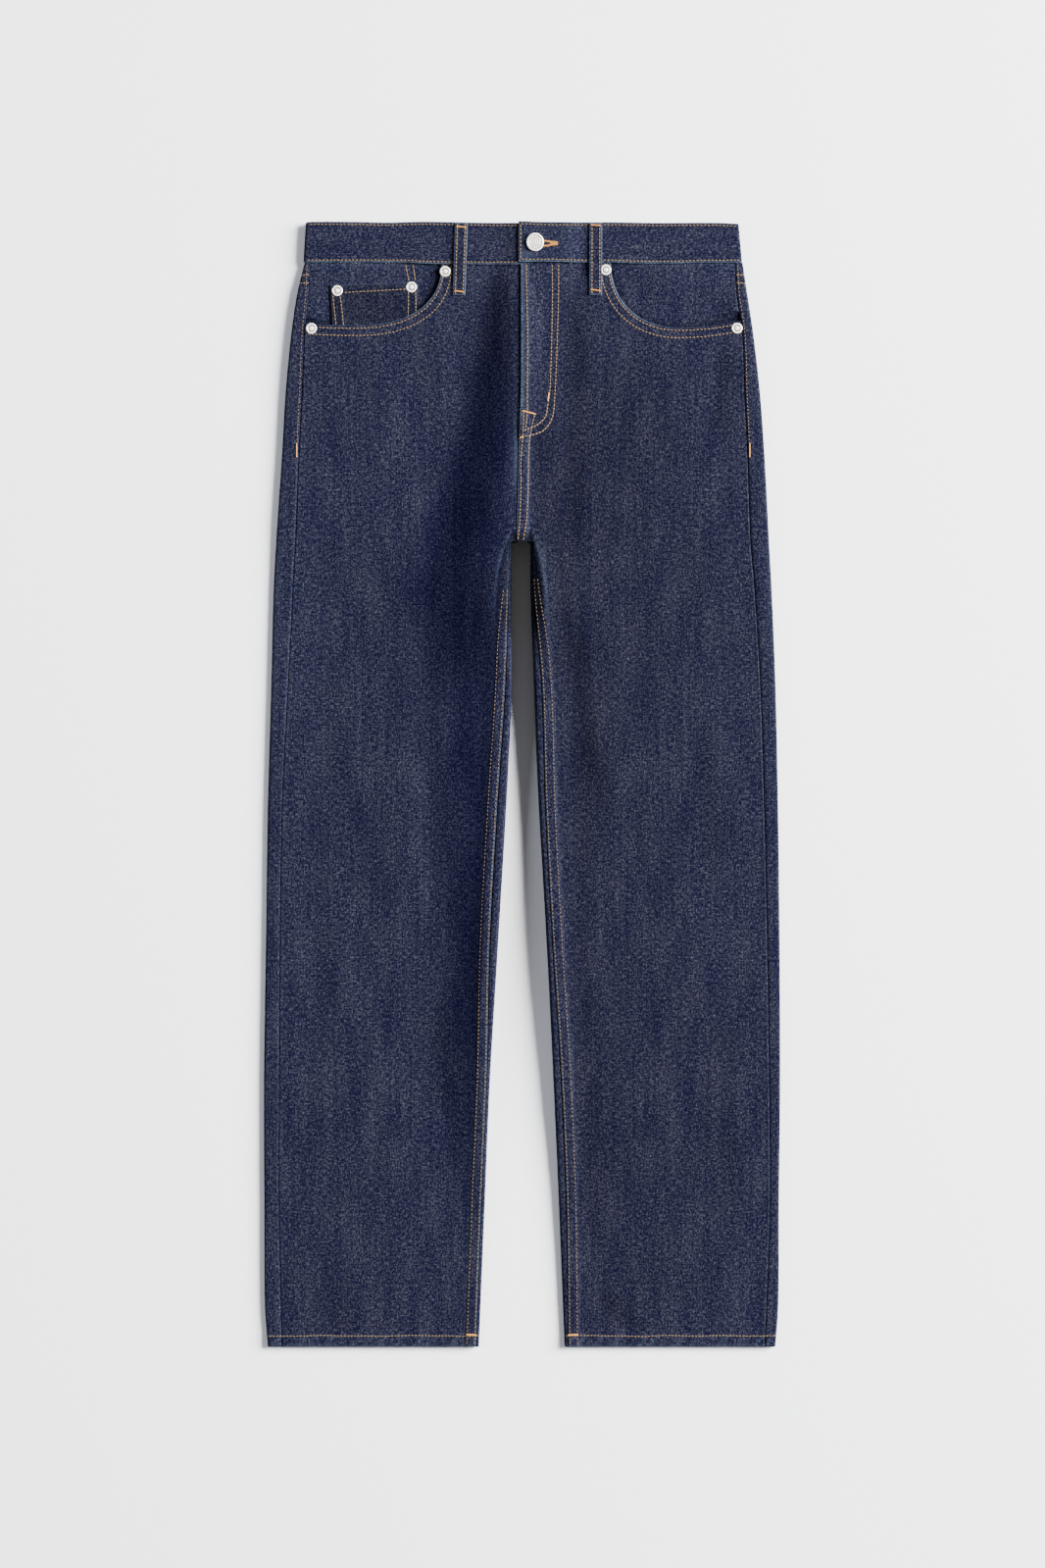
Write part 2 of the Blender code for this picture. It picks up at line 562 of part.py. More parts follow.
def build_front(leg, material):
    """A front panel, from the pocket opening and the side seam across to the fly and the inseam."""
    seat, legs = levels(leg)
    steps = POCKET_STEPS + RUN_STEPS
    first_inner = WAISTBAND_DEPTH + SEAM_GAP
    inner_downs = spread(first_inner, seat[0][1], steps)
    rows = []
    for step in range(POCKET_STEPS):
        out, down = opening_point(leg.opening, step / POCKET_STEPS)
        inner_down = inner_downs[step]
        rows.append((leg.sign * out, max(down, first_inner), fly_x(inner_down, leg), inner_down))
    for step in range(RUN_STEPS):
        out, down = run_point(leg, step / RUN_STEPS)
        inner_down = inner_downs[POCKET_STEPS + step]
        rows.append((leg.sign * out, down, fly_x(inner_down, leg), inner_down))
    for side_down, inner_down in seat:
        side_x = leg.sign * (along(leg.side, "seam", side_down) - SEAM_GAP)
        rows.append((side_x, side_down, fly_x(inner_down, leg), inner_down))
    for side_down, inner_down in legs:
        side_x = leg.sign * (along(leg.side, "seam", side_down) - SEAM_GAP)
        inner_x = leg.sign * (along(leg.inside, "seam", inner_down) + SEAM_GAP)
        rows.append((side_x, side_down, inner_x, inner_down))
    outer = []
    inner = []
    for side_x, side_down, inner_x, inner_down in rows:
        length = math.hypot(side_x - inner_x, side_down - inner_down)
        strip = STRIP_REACH / length
        shares = [0.0] + spread(SIDE_COLUMN / length, 1 - strip, PANEL_COLUMNS)
        shares += [1 - share * strip for share in STRIP_COLUMNS] + [1.0]
        top_row = []
        low_row = []
        for share in shares:
            x = side_x + (inner_x - side_x) * share
            down = side_down + (inner_down - side_down) * share
            height = front_height(x, down) + front_rise(leg, x, down)
            top_row.append((x, to_y(down), height))
            low_row.append((x, to_y(down), height - front_wall(x, down)))
        outer.append(top_row)
        inner.append(low_row)
    return add_wall(f"front_panel_{leg.name}", outer, inner, material)


def turned(plan, direction, angle, low, high, wall):
    """Points of the outer and inner faces where cloth turns over an edge.

    plan is the edge's (x, y), direction the unit way out of it, and angle -90 below to 90 above.
    """
    middle = (low + high) / 2
    half = (high - low) / 2
    cosine = math.cos(math.radians(angle))
    sine = math.sin(math.radians(angle))
    result = []
    for inset in (0.0, wall):
        reach = -FOLD_DEPTH + (FOLD_DEPTH - inset) * cosine
        x = plan[0] + direction[0] * reach
        y = plan[1] + direction[1] * reach
        result.append((x, y, middle + (half - inset) * sine))
    return result


def side_part(leg, down_at):
    """Points from the side seam round the leg's outer edge to the flat underside.

    down_at gives the distance down for a share of the whole path.
    """
    points = []
    down = down_at(0.0)
    seam = along(leg.side, "seam", down)
    x = leg.sign * seam
    height = front_height(x, down)
    points.append([(x, to_y(down), height), (x, to_y(down), height - wall_at(down))])
    for index, angle in enumerate(FOLD_ANGLES):
        down = down_at(STRIP_SHARE + (TURN_SHARE - STRIP_SHARE) * index / (len(FOLD_ANGLES) - 1))
        outline = along(leg.side, "outline", down)
        high = front_height(leg.sign * (outline - FOLD_DEPTH), down)
        plan = (leg.sign * outline, to_y(down))
        points.append(turned(plan, (leg.sign, 0), angle, underside(down), high, wall_at(down)))
    return points


def flat_part(leg, start_out, end_out, down_at, shares):
    """Points of the flat underside between two distances out."""
    points = []
    for share in shares:
        down = down_at(TURN_SHARE + (1 - TURN_SHARE) * share)
        out = start_out + (end_out - start_out) * share
        low = underside(down)
        place = (leg.sign * out, to_y(down))
        points.append([(*place, low), (*place, low + wall_at(down))])
    return points


def back_row(leg, side_down, middle_down, wrap):
    """One row of a back panel or yoke, from the side seam round to the middle seam or the inseam.

    wrap is None on the seat, an angle where the row ends on the crotch's turned edge, or "leg".
    """
    def down_at(share):
        return side_down + (middle_down - side_down) * share

    points = side_part(leg, down_at)
    fold_columns = len(FOLD_ANGLES)
    start = along(leg.side, "outline", down_at(TURN_SHARE)) - FOLD_DEPTH
    inner_outline = along(leg.inside, "outline", max(middle_down, leg.inside[0].down))
    inner_start = inner_outline + FOLD_DEPTH
    shares = spread(0.0, 1.0, BOTTOM_COLUMNS)[1:-1]
    points += flat_part(leg, start, inner_start, lambda share: down_at(min(share, FLAT_SHARE)), shares)
    if wrap == "leg":
        down = middle_down
        plan = (leg.sign * inner_outline, to_y(down))
        high = front_height(leg.sign * inner_start, down)
        for angle in reversed(FOLD_ANGLES):
            points.append(turned(plan, (-leg.sign, 0), angle, underside(down), high, wall_at(down)))
        x = leg.sign * max(along(leg.inside, "seam", down), inner_start + TOLERANCE)
        height = front_height(x, down)
        points.append([(x, to_y(down), height), (x, to_y(down), height - front_wall(x, down))])
        return points
    end = SEAM_GAP / 2
    if wrap is None:
        for step in range(fold_columns + 1):
            share = step / fold_columns
            out = inner_start + (end - inner_start) * share
            down = down_at(FLAT_SHARE + (1 - FLAT_SHARE) * share)
            low = underside(down)
            place = (leg.sign * out, to_y(down))
            points.append([(*place, low), (*place, low + wall_at(down))])
        return points
    low = underside(middle_down)
    high = front_height(leg.sign * end, CROTCH_DOWN)
    for step in range(fold_columns + 1):
        share = step / fold_columns
        angle = -90 + (wrap + 90) * share
        out = inner_outline + (end - inner_outline) * share
        turn = math.radians(90 * smooth_step(0.0, CROTCH_TURN_SHARE, share))
        direction = (-leg.sign * math.cos(turn), -math.sin(turn))
        edge_down = CROTCH_EDGE_DOWN + (leg.inside[0].down - CROTCH_EDGE_DOWN) * (1 - share)
        plan = (leg.sign * out, to_y(edge_down))
        points.append(turned(plan, direction, angle, low, high, DENIM))
    return points


def build_back(leg, material):
    """A back panel: flat on the surface, turned up round the leg's outer and inner edges."""
    seat, legs = levels(leg)
    top_side = YOKE_SIDE_DOWN + SEAM_GAP
    top_middle = YOKE_MIDDLE_DOWN + SEAM_GAP
    rows = []
    side_downs = spread(top_side, seat[0][0], UPPER_SEAT_STEPS)[:-1] + [pair[0] for pair in seat]
    middle_downs = spread(top_middle, SEAT_ROW_END, len(side_downs) - 1)
    for side_down, middle_down in zip(side_downs, middle_downs):
        rows.append(back_row(leg, side_down, middle_down, None))
    crotch_downs = spread(CROTCH_ROW_START, leg.inside[0].down, len(CROTCH_ANGLES) + 1)[1:-1]
    for down, angle in zip(crotch_downs, CROTCH_ANGLES):
        rows.append(back_row(leg, down, down, angle))
    for side_down, inner_down in legs:
        rows.append(back_row(leg, side_down, inner_down, "leg"))
    outer = [[point[0] for point in row] for row in rows]
    inner = [[point[1] for point in row] for row in rows]
    return add_wall(f"back_panel_{leg.name}", outer, inner, material)


def build_yoke(leg, material):
    """The back yoke, between the waistband and the slanting yoke seam."""
    top = WAISTBAND_DEPTH + SEAM_GAP
    rows = []
    for side_down, middle_down in zip(
        spread(top, YOKE_SIDE_DOWN, YOKE_STEPS), spread(top, YOKE_MIDDLE_DOWN, YOKE_STEPS)
    ):
        rows.append(back_row(leg, side_down, middle_down, None))
    outer = [[point[0] for point in row] for row in rows]
    inner = [[point[1] for point in row] for row in rows]
    return add_wall(f"back_yoke_{leg.name}", outer, inner, material)


def build_facing(leg, material):
    """A front pocket's facing: from the waistband and the side seam to just under the front panel."""
    outer = []
    inner = []
    for step in range(POCKET_STEPS + 1):
        inner_out, down = opening_point(leg.opening, step / POCKET_STEPS, FACING_MARGIN)
        down = max(down, WAISTBAND_DEPTH + SEAM_GAP)
        side_out = along(leg.side, "seam", down) - SEAM_GAP
        top_row = []
        low_row = []
        for out in spread(side_out, inner_out, FACING_COLUMNS):
            x = leg.sign * out
            height = front_height(x, down) - sinking(leg, out, down)
            top_row.append((x, to_y(down), height))
            low_row.append((x, to_y(down), height - POCKET_CLOTH))
        outer.append(top_row)
        inner.append(low_row)
    return add_wall(f"pocket_facing_{leg.name}", outer, inner, material)


def coin_height(x, down):
    """Height of the coin pocket's outer face, just over the facing."""
    facing = front_height(x, down) - sinking(RIGHT, -x, down)
    return facing + SEAM_GAP + POCKET_CLOTH


def coin_bottom(x):
    """Distance down of the coin pocket's lower edge, which follows the opening's curve."""
    opening = RIGHT.opening
    across = max(opening.centre + x, 0.0) / (opening.half_width + COIN_MARGIN)
    depth = (1 - across**opening.roundness) ** (1 / opening.roundness)
    return WAISTBAND_DEPTH + (opening.drop + COIN_MARGIN) * depth


def build_coin_pocket(material):
    """The small pocket on the wearer's right facing."""
    outer = []
    inner = []
    for depth in spread(0.0, 1.0, COIN_STEPS):
        top_row = []
        low_row = []
        for share in spread(0.0, 1.0, COIN_COLUMNS):
            x = COIN_OUTER_X + (COIN_INNER_X - COIN_OUTER_X) * share
            top_down = COIN_OUTER_DOWN + (COIN_INNER_DOWN - COIN_OUTER_DOWN) * share
            x += COIN_TAPER * depth * (1 - 2 * share)
            down = top_down + (coin_bottom(x) - top_down) * depth
            height = coin_height(x, down)
            top_row.append((x, to_y(down), height))
            low_row.append((x, to_y(down), height - POCKET_CLOTH))
        outer.append(top_row)
        inner.append(low_row)
    return add_wall("coin_pocket", outer, inner, material)


def build_back_pocket(leg, material):
    """A patch pocket under the seat: five sides with a low point, flat on the surface."""
    middle = BACK_POCKET_INNER + BACK_POCKET_TOP_WIDTH / 2
    half = BACK_POCKET_TOP_WIDTH / 2
    outer = []
    inner = []
    for share in spread(0.0, 1.0, BACK_POCKET_STEPS):
        row_low = []
        row_top = []
        for across in spread(-1.0, 1.0, BACK_POCKET_COLUMNS):
            out = middle + across * (half - BACK_POCKET_TAPER * share)
            point = BACK_POCKET_POINT * (1 - abs(across)) * share
            down = BACK_POCKET_TOP_DOWN + BACK_POCKET_SIDE * share + point
            row_low.append((leg.sign * out, to_y(down), 0.0))
            row_top.append((leg.sign * out, to_y(down), DENIM))
        outer.append(row_low)
        inner.append(row_top)
    return add_wall(f"back_pocket_{leg.name}", outer, inner, material)


def band_turn(sign, edge):
    """Stations where the waistband turns over at one side."""
    middle = (WAISTBAND_TOP + SEAT_LIFT) / 2
    half = (WAISTBAND_TOP - SEAT_LIFT) / 2
    stations = []
    for angle in BAND_TURN_ANGLES:
        cosine = math.cos(math.radians(angle))
        sine = math.sin(math.radians(angle))
        outer_x = sign * (edge - half + half * cosine)
        inner_x = sign * (edge - half + (half - WAISTBAND_WALL) * cosine)
        stations.append((outer_x, middle + half * sine, inner_x, middle + (half - WAISTBAND_WALL) * sine))
    return stations


def waistband_path():
    """Stations round the waistband, from the lapped end right round to the end under it.

    Each gives X and the height of the outer face, then of the inner face, at the lower edge.
    """
    stations = []
    for x in LAPPED_FRONT:
        rise = LAP_RISE * (1 - smooth_step(LAP_RAMP_START, LAP_RAMP_END, x))
        stations.append((x, WAISTBAND_TOP + rise, x, WAISTBAND_TOP + rise - WAISTBAND_WALL))
    stations += band_turn(1, LEFT_BAND_EDGE)
    stations += [(x, SEAT_LIFT, x, SEAT_LIFT + WAISTBAND_WALL) for x in BAND_BACK]
    stations += reversed(band_turn(-1, RIGHT_BAND_EDGE))
    stations += [(x, WAISTBAND_TOP, x, WAISTBAND_TOP - WAISTBAND_WALL) for x in UNDER_FRONT]
    return stations


def build_waistband(material):
    """The waistband, a double strip all round whose left end laps over its right one."""
    outer = []
    inner = []
    for share, ease in BAND_ROWS:
        outer_row = []
        inner_row = []
        for index, (x, height, inner_x, inner_height) in enumerate(waistband_path()):
            top_down = LAP_TOP_EXTRA
            if index < len(LAPPED_FRONT):
                top_down *= smooth_step(0.0, LAPPED_FRONT[-1], x)
            down = top_down + (WAISTBAND_DEPTH - top_down) * share
            lean = LEFT_BAND_LEAN * smooth_step(LEAN_START, LEAN_END, x)
            lean -= RIGHT_BAND_LEAN * smooth_step(LEAN_START, LEAN_END, -x)
            lean *= 1 - share
            settle = ease if height > inner_height else 0.0
            outer_row.append((x - lean, to_y(down), height - settle))
            inner_row.append((inner_x - lean, to_y(down), inner_height))
        outer.append(outer_row)
        inner.append(inner_row)
    return add_wall("waistband", outer, inner, material)


def build_front_loop(loop, material):
    """A front belt loop: from the waistband's top edge down on to the front panel."""
    outer = []
    inner = []
    for share in spread(0.0, 1.0, LOOP_STEPS):
        down = LAP_TOP_EXTRA + LOOP_LENGTH * share
        middle = loop.x_top + (loop.x_end - loop.x_top) * share
        top_row = []
        low_row = []
        for across in (-1, 0, 1):
            x = middle + across * LOOP_WIDTH / 2
            panel = front_height(middle, down)
            on_band = 1 - smooth_step(LOOP_LEAVE_START, LOOP_LEAVE_END, share)
            rest = max(panel, WAISTBAND_TOP * on_band + panel * (1 - on_band))
            slack = smooth_step(0.0, LOOP_SLACK_START, share) * (1 - smooth_step(LOOP_SLACK_END, 1.0, share))
            low = rest + LOOP_GAP + LOOP_SLACK * slack
            low_row.append((x, to_y(down), low))
            top_row.append((x, to_y(down), low + LOOP_WALL))
        outer.append(top_row)
        inner.append(low_row)
    return add_wall(loop.name, outer, inner, material)


def build_back_loop(loop, material):
    """A back belt loop, flat between the waistband's back and the surface."""
    outer = []
    inner = []
    for share in (0.0, 0.5, 1.0):
        middle = loop.x_top + (loop.x_end - loop.x_top) * share
        down = LAP_TOP_EXTRA + LOOP_LENGTH * share
        low_row = []
        top_row = []
        for across in (-1, 1):
            x = middle + across * LOOP_WIDTH / 2
            low_row.append((x, to_y(down), 0.0))
            top_row.append((x, to_y(down), BACK_LOOP_WALL))
        outer.append(low_row)
        inner.append(top_row)
    return add_wall(loop.name, outer, inner, material)


def build_turned(name, x, down, base, radius, profile, sides, material):
    """A round metal piece: a turned profile, closed above and below."""
    points = []
    for turn in profile:
        for side in range(sides):
            angle = 2 * math.pi * side / sides
            reach = radius * turn.share
            points.append((
                x + reach * math.cos(angle), to_y(down) + reach * math.sin(angle), base + turn.height,
            ))
    faces = [list(range(sides)), list(range((len(profile) - 1) * sides, len(profile) * sides))]
    for ring in range(len(profile) - 1):
        for side in range(sides):
            after = (side + 1) % sides
            faces.append([
                ring * sides + side, ring * sides + after,
                (ring + 1) * sides + after, (ring + 1) * sides + side,
            ])
    return add_object(name, points, faces, material, smooth=True)


def build_rivets(material):
    """The six rivet heads, just over the cloth that they hold."""
    for rivet in RIVETS:
        around = [
            (rivet.x + RIVET_RADIUS * math.cos(angle), rivet.down + RIVET_RADIUS * math.sin(angle))
            for angle in spread(0.0, 2 * math.pi, RIVET_PLACES)
        ]
        height_at = coin_height if rivet.on_coin_pocket else front_height
        base = max(height_at(*place) for place in around) + SEAM_GAP
        build_turned(
            rivet.name, rivet.x, rivet.down, base, RIVET_RADIUS, RIVET_PROFILE, RIVET_SIDES, material
        )


def main():
    clear_scene()
    denim = make_material("denim", (0.028, 0.034, 0.085), 0.85, 0.0)
    metal = make_material("nickel", (0.66, 0.65, 0.62), 0.3, 1.0)
    for leg in (RIGHT, LEFT):
        build_front(leg, denim)
        build_back(leg, denim)
        build_yoke(leg, denim)
        build_facing(leg, denim)
        build_back_pocket(leg, denim)
    build_coin_pocket(denim)
    build_waistband(denim)
    for loop in FRONT_LOOPS:
        build_front_loop(loop, denim)
    for loop in BACK_LOOPS:
        build_back_loop(loop, denim)
    build_rivets(metal)
    button_base = WAISTBAND_TOP + LAP_RISE + SEAM_GAP
    build_turned(
        "waist_button", BUTTON_X, BUTTON_DOWN, button_base, BUTTON_RADIUS, BUTTON_PROFILE, BUTTON_SIDES, metal
    )


main()
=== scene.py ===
import math
import bpy
import numpy as np
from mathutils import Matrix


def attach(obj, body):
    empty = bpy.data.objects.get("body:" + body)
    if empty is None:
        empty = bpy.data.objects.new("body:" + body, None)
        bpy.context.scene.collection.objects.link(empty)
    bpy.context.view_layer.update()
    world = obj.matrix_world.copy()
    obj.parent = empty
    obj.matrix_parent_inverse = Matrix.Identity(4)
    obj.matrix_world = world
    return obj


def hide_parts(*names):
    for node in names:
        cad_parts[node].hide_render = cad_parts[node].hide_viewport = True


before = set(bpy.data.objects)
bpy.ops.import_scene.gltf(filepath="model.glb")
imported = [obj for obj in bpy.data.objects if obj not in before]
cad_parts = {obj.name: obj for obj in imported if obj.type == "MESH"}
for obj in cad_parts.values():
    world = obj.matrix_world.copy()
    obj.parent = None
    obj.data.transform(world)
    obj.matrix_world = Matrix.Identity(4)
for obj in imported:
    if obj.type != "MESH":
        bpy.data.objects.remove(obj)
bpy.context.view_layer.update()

# Lengths are in millimetres: x to the wearer's left, down from the waistband's top edge, z up from the floor
body = {
    "length": 1090.0, "bandDepth": 39.0, "bandLow": 1.5, "seatEnd": 306.6, "legStart": 311.5,
    "legEnd": 1075.0, "wall": 1.2, "foldDepth": 2.4, "gap": 0.3, "lift": 0.4,
}
clothTop = body["bandDepth"] + body["gap"]
# Rows of the turned-up hem, closer together towards its edge
hemRows = body["length"] - np.array([13.5, 12.2, 11.6, 11.0, 10.2, 8, 6, 4, 2.4, 1.4, 0.7, 0.25, 0])

# Rows of down, outline, side seam for the outer side of each leg
rightSide = np.array([
    (39.0, 210.7, 205.8), (70.0, 218.1, 207.2), (108.0, 223.7, 210.6), (165.0, 229.2, 213.2),
    (231.0, 233.1, 216.4), (309.0, 238.4, 219.4), (355.0, 240.9, 221.9), (450.0, 243.3, 226.7),
    (564.0, 246.5, 232.4), (697.0, 248.4, 234.5), (830.0, 250.3, 235.2), (953.0, 250.0, 235.5),
    (1048.0, 249.5, 233.5), (1090.0, 246.6, 232.4),
])
leftSide = np.array([
    (39.0, 213.8, 206.1), (70.0, 218.5, 207.8), (108.0, 224.2, 213.2), (165.0, 230.7, 215.3),
    (231.0, 235.4, 218.4), (309.0, 239.5, 221.2), (355.0, 242.1, 225.1), (450.0, 245.9, 230.8),
    (564.0, 248.3, 234.4), (697.0, 249.8, 237.4), (830.0, 250.4, 239.3), (953.0, 249.1, 240.0),
    (1048.0, 248.6, 236.7), (1090.0, 245.7, 235.0),
])
# Rows of down, outline, inseam for the inner side of each leg
rightInside = np.array([
    (311.5, 10.1, 12.7), (355.0, 10.4, 13.0), (450.0, 10.1, 16.3), (564.0, 15.2, 23.8), (697.0, 23.0, 31.2),
    (830.0, 31.0, 34.2), (953.0, 36.2, 39.5), (1090.0, 41.9, 44.6),
])
leftInside = np.array([
    (311.5, 8.2, 10.9), (355.0, 8.0, 10.9), (450.0, 11.4, 19.0), (564.0, 16.1, 22.4), (697.0, 23.7, 29.3),
    (830.0, 30.3, 37.8), (953.0, 35.7, 42.7), (1090.0, 41.2, 44.5),
])
# Rows of down and the x of the left front's edge at the fly
flyEdge = np.array([(39.0, -1.4), (165.0, -1.4), (208.0, -3.3), (308.0, -5.7)])
# Rows of down, height of the front's face, height of the underside
heights = np.array([
    (0.0, 6.2, 1.5), (42.0, 6.2, 1.5), (68.0, 7.2, 1.5), (112.0, 7.2, 1.5), (190.0, 6.5, 1.5),
    (285.0, 6.1, 1.5), (345.0, 5.0, 0.0), (480.0, 4.8, 0.0), (1090.0, 4.6, 0.0),
])
# The crotch and inner thighs stand up: down, height of the crest, start and reach of its slope to the
# wearer's right, the same to the left, share of the height that falls in the first 34 mm on the left, and
# how square, rather than smooth, the fall to the right is
crown = np.array([
    (44.0, 0.0, -1.0, 34.0, 3.0, 150.0, 0.6, 0.0), (68.0, 3.0, -1.0, 36.0, 3.0, 150.0, 0.6, 0.0),
    (112.0, 8.0, 0.0, 46.0, 3.0, 155.0, 0.55, 0.0), (190.0, 15.5, 3.0, 62.0, 3.0, 165.0, 0.45, 0.0),
    (250.0, 21.0, 6.0, 78.0, 4.0, 175.0, 0.3, 0.0), (300.0, 26.5, 9.0, 94.0, 7.0, 180.0, 0.2, 0.1),
    (345.0, 28.5, 19.0, 102.0, 20.0, 180.0, 0.15, 0.3), (450.0, 16.5, 24.0, 88.0, 29.0, 175.0, 0.15, 0.7),
    (564.0, 12.0, 31.0, 68.0, 33.0, 165.0, 0.15, 1.0), (697.0, 12.8, 38.0, 52.0, 39.0, 150.0, 0.15, 1.0),
    (830.0, 7.4, 44.0, 44.0, 48.0, 120.0, 0.15, 1.0), (953.0, 2.0, 49.0, 40.0, 52.0, 90.0, 0.15, 1.0),
    (1090.0, 0.0, 54.0, 36.0, 54.0, 90.0, 0.15, 1.0),
])
# The legs' inner edges roll down to the gap below the crotch: down, reach of the roll from the gap, steepness
roll = np.array([
    (300.0, 0.6, 0.0), (304.0, 2.5, 0.36), (313.0, 6.0, 0.42), (327.0, 10.5, 0.42), (347.0, 14.5, 0.42),
    (372.0, 16.5, 0.32), (400.0, 17.0, 0.18), (440.0, 17.0, 0.0),
])
# Soft troughs and ridges: x and down at the top, x and down at the end, half width, depth, waviness
folds = np.array([
    (-50, 110, -96, 400, 18, -0.9, 0), (-96, 400, -84, 700, 16, -0.9, 0), (48, 70, 46, 300, 13, -0.8, 0),
    (42, 330, 60, 980, 13, -1.1, 0), (-120, 420, -140, 1000, 55, 0.5, 0), (130, 420, 145, 1000, 55, 0.5, 0),
    (-195, 300, -205, 900, 18, -0.6, 0), (200, 260, 205, 820, 18, -0.5, 0),
    (-96, 120, -84, 330, 13, -0.3, 3), (-84, 300, -96, 520, 18, 0.3, 4),
    (-150, 130, -128, 260, 12, 0.25, 3), (-165, 560, -150, 760, 20, -0.3, 4),
    (-88, 760, -70, 905, 14, -0.35, 4), (-128, 880, -112, 1040, 16, 0.3, 3),
    (58, 130, 66, 250, 12, -0.4, 3), (86, 240, 78, 420, 15, 0.35, 4), (62, 470, 74, 590, 10, -0.5, 2),
    (110, 120, 122, 240, 16, 0.3, 3), (192, 115, 190, 215, 9, -0.45, 2), (150, 300, 164, 520, 17, -0.3, 4),
    (176, 560, 184, 720, 14, -0.35, 3), (196, 720, 192, 960, 12, -0.45, 3), (92, 820, 80, 1000, 18, 0.3, 4),
    (70, 1035, 112, 1078, 10, -0.5, 1), (-186, 1000, -170, 1080, 15, -0.3, 2),
    (-70, 1010, -96, 1080, 14, -0.25, 2),
], dtype=float)


def along(table, column, down):
    # Smooth curve through a table's rows: the four Hermite weights on two values and their slopes
    places = table[:, 0]
    values = table[:, column]
    index = np.arange(len(places))
    before = np.maximum(index - 1, 0)
    after = np.minimum(index + 1, len(places) - 1)
    slopes = (values[after] - values[before]) / (places[after] - places[before])
    down = np.clip(down, places[0], places[-1])
    i = np.clip(np.searchsorted(places, down, side="right") - 1, 0, len(places) - 2)
    span = places[i + 1] - places[i]
    t = (down - places[i]) / span
    total = (2 * t**3 - 3 * t**2 + 1) * values[i] + (t**3 - 2 * t**2 + t) * span * slopes[i]
    return total + (3 * t**2 - 2 * t**3) * values[i + 1] + (t**3 - t**2) * span * slopes[i + 1]


def smoothStep(low, high, value):
    # 3t^2 - 2t^3 of the share of the way from low to high
    t = np.clip((value - low) / (high - low), 0.0, 1.0)
    return t * t * (3 - 2 * t)


def bell(away, width):
    # 1 where away is 0, and 1/e at a width to either side: e^-(away / width)^2
    return np.exp(-((away / width) ** 2))


def ripple(place, length, seed):
    # Uneven wave: three sines of unlike lengths with a slowly shifting phase
    turn = 2 * math.pi * place / length
    drift = 1.7 * np.sin(turn * 0.231 + seed) + 1.1 * np.sin(turn * 0.097 + 2.3 * seed)
    return (np.sin(turn + drift) + 0.5 * np.sin(1.73 * turn + seed) + 0.3 * np.sin(0.41 * turn - seed)) / 1.5


def bellSum(rows, x, down):
    # Sum over the rows of depth, times soft ends, times a bell curve of the distance from the row's wavy line
    total = np.zeros(np.broadcast(x, down).shape)
    for xTop, downTop, xEnd, downEnd, width, depth, wave in rows:
        share = (down - downTop) / (downEnd - downTop)
        line = xTop + (xEnd - xTop) * share + wave * np.sin(3.1 * share + xTop)
        ends = smoothStep(-0.15, 0.25, share) * smoothStep(1.15, 0.75, share)
        total = total + depth * ends * bell(x - line, width)
    return total


def crownHeight(x, down):
    # Crest height times a blend of square and smooth step to the right, and of a near smooth step and a
    # power to the left
    right = np.clip((-x - along(crown, 2, down)) / along(crown, 3, down), 0.0, 1.0)
    past = x - along(crown, 4, down)
    left = np.clip(past / along(crown, 5, down), 0.0, 1.0)
    near = along(crown, 6, down)
    share = near * (1 - smoothStep(0.0, 34.0, past)) + (1 - near) * (1 - left) ** 1.3
    square = along(crown, 7, down)
    falling = square * (1 - right) ** 2 + (1 - square) * (1 - smoothStep(0.0, 1.0, right))
    return along(crown, 1, down) * share * falling


def innerOutline(x, down):
    # Outline of the inner side of the leg that x is on
    return np.where(x < 0, along(rightInside, 1, down), along(leftInside, 1, down))


def rollDrop(x, down):
    # Steepness times (reach - distance from the gap's edge)^2 / reach
    reach = along(roll, 1, down)
    inside = np.maximum(reach - np.maximum(np.abs(x) - innerOutline(x, down), 0.0), 0.0)
    return along(roll, 2, down) * inside**2 / reach


def hemShare(down):
    # 0 above the turned-up hem, 1 on it
    return smoothStep(body["length"] - 12.2, body["length"] - 10.4, down)


def hemRoping(x, down):
    # The slanting ridges of the turned-up hem: an uneven wave of x plus three quarters of down
    return ripple(x + 0.75 * (down - 1078), 15.0, 1.3)


def frontHeight(x, down):
    # Height table, folds, the thicker hem with its slanting ridges and a faint unevenness
    waves = 0.05 * ripple(down + 0.3 * x, 47.0, 2.1) * np.sin(x / 19.0)
    uneven = waves + 0.04 * ripple(x + 0.2 * down, 23.0, 0.6)
    relief = crownHeight(x, down) - rollDrop(x, down) + bellSum(folds, x, down) + uneven
    return along(heights, 1, down) + relief + hemShare(down) * (0.6 + 0.22 * hemRoping(x, down))


def sideOf(sign):
    # Table of the leg's outer side: the wearer's right leg has sign -1, the left one 1
    return rightSide if sign < 0 else leftSide


def insideOf(sign):
    # Table of the leg's inner side
    return rightInside if sign < 0 else leftInside


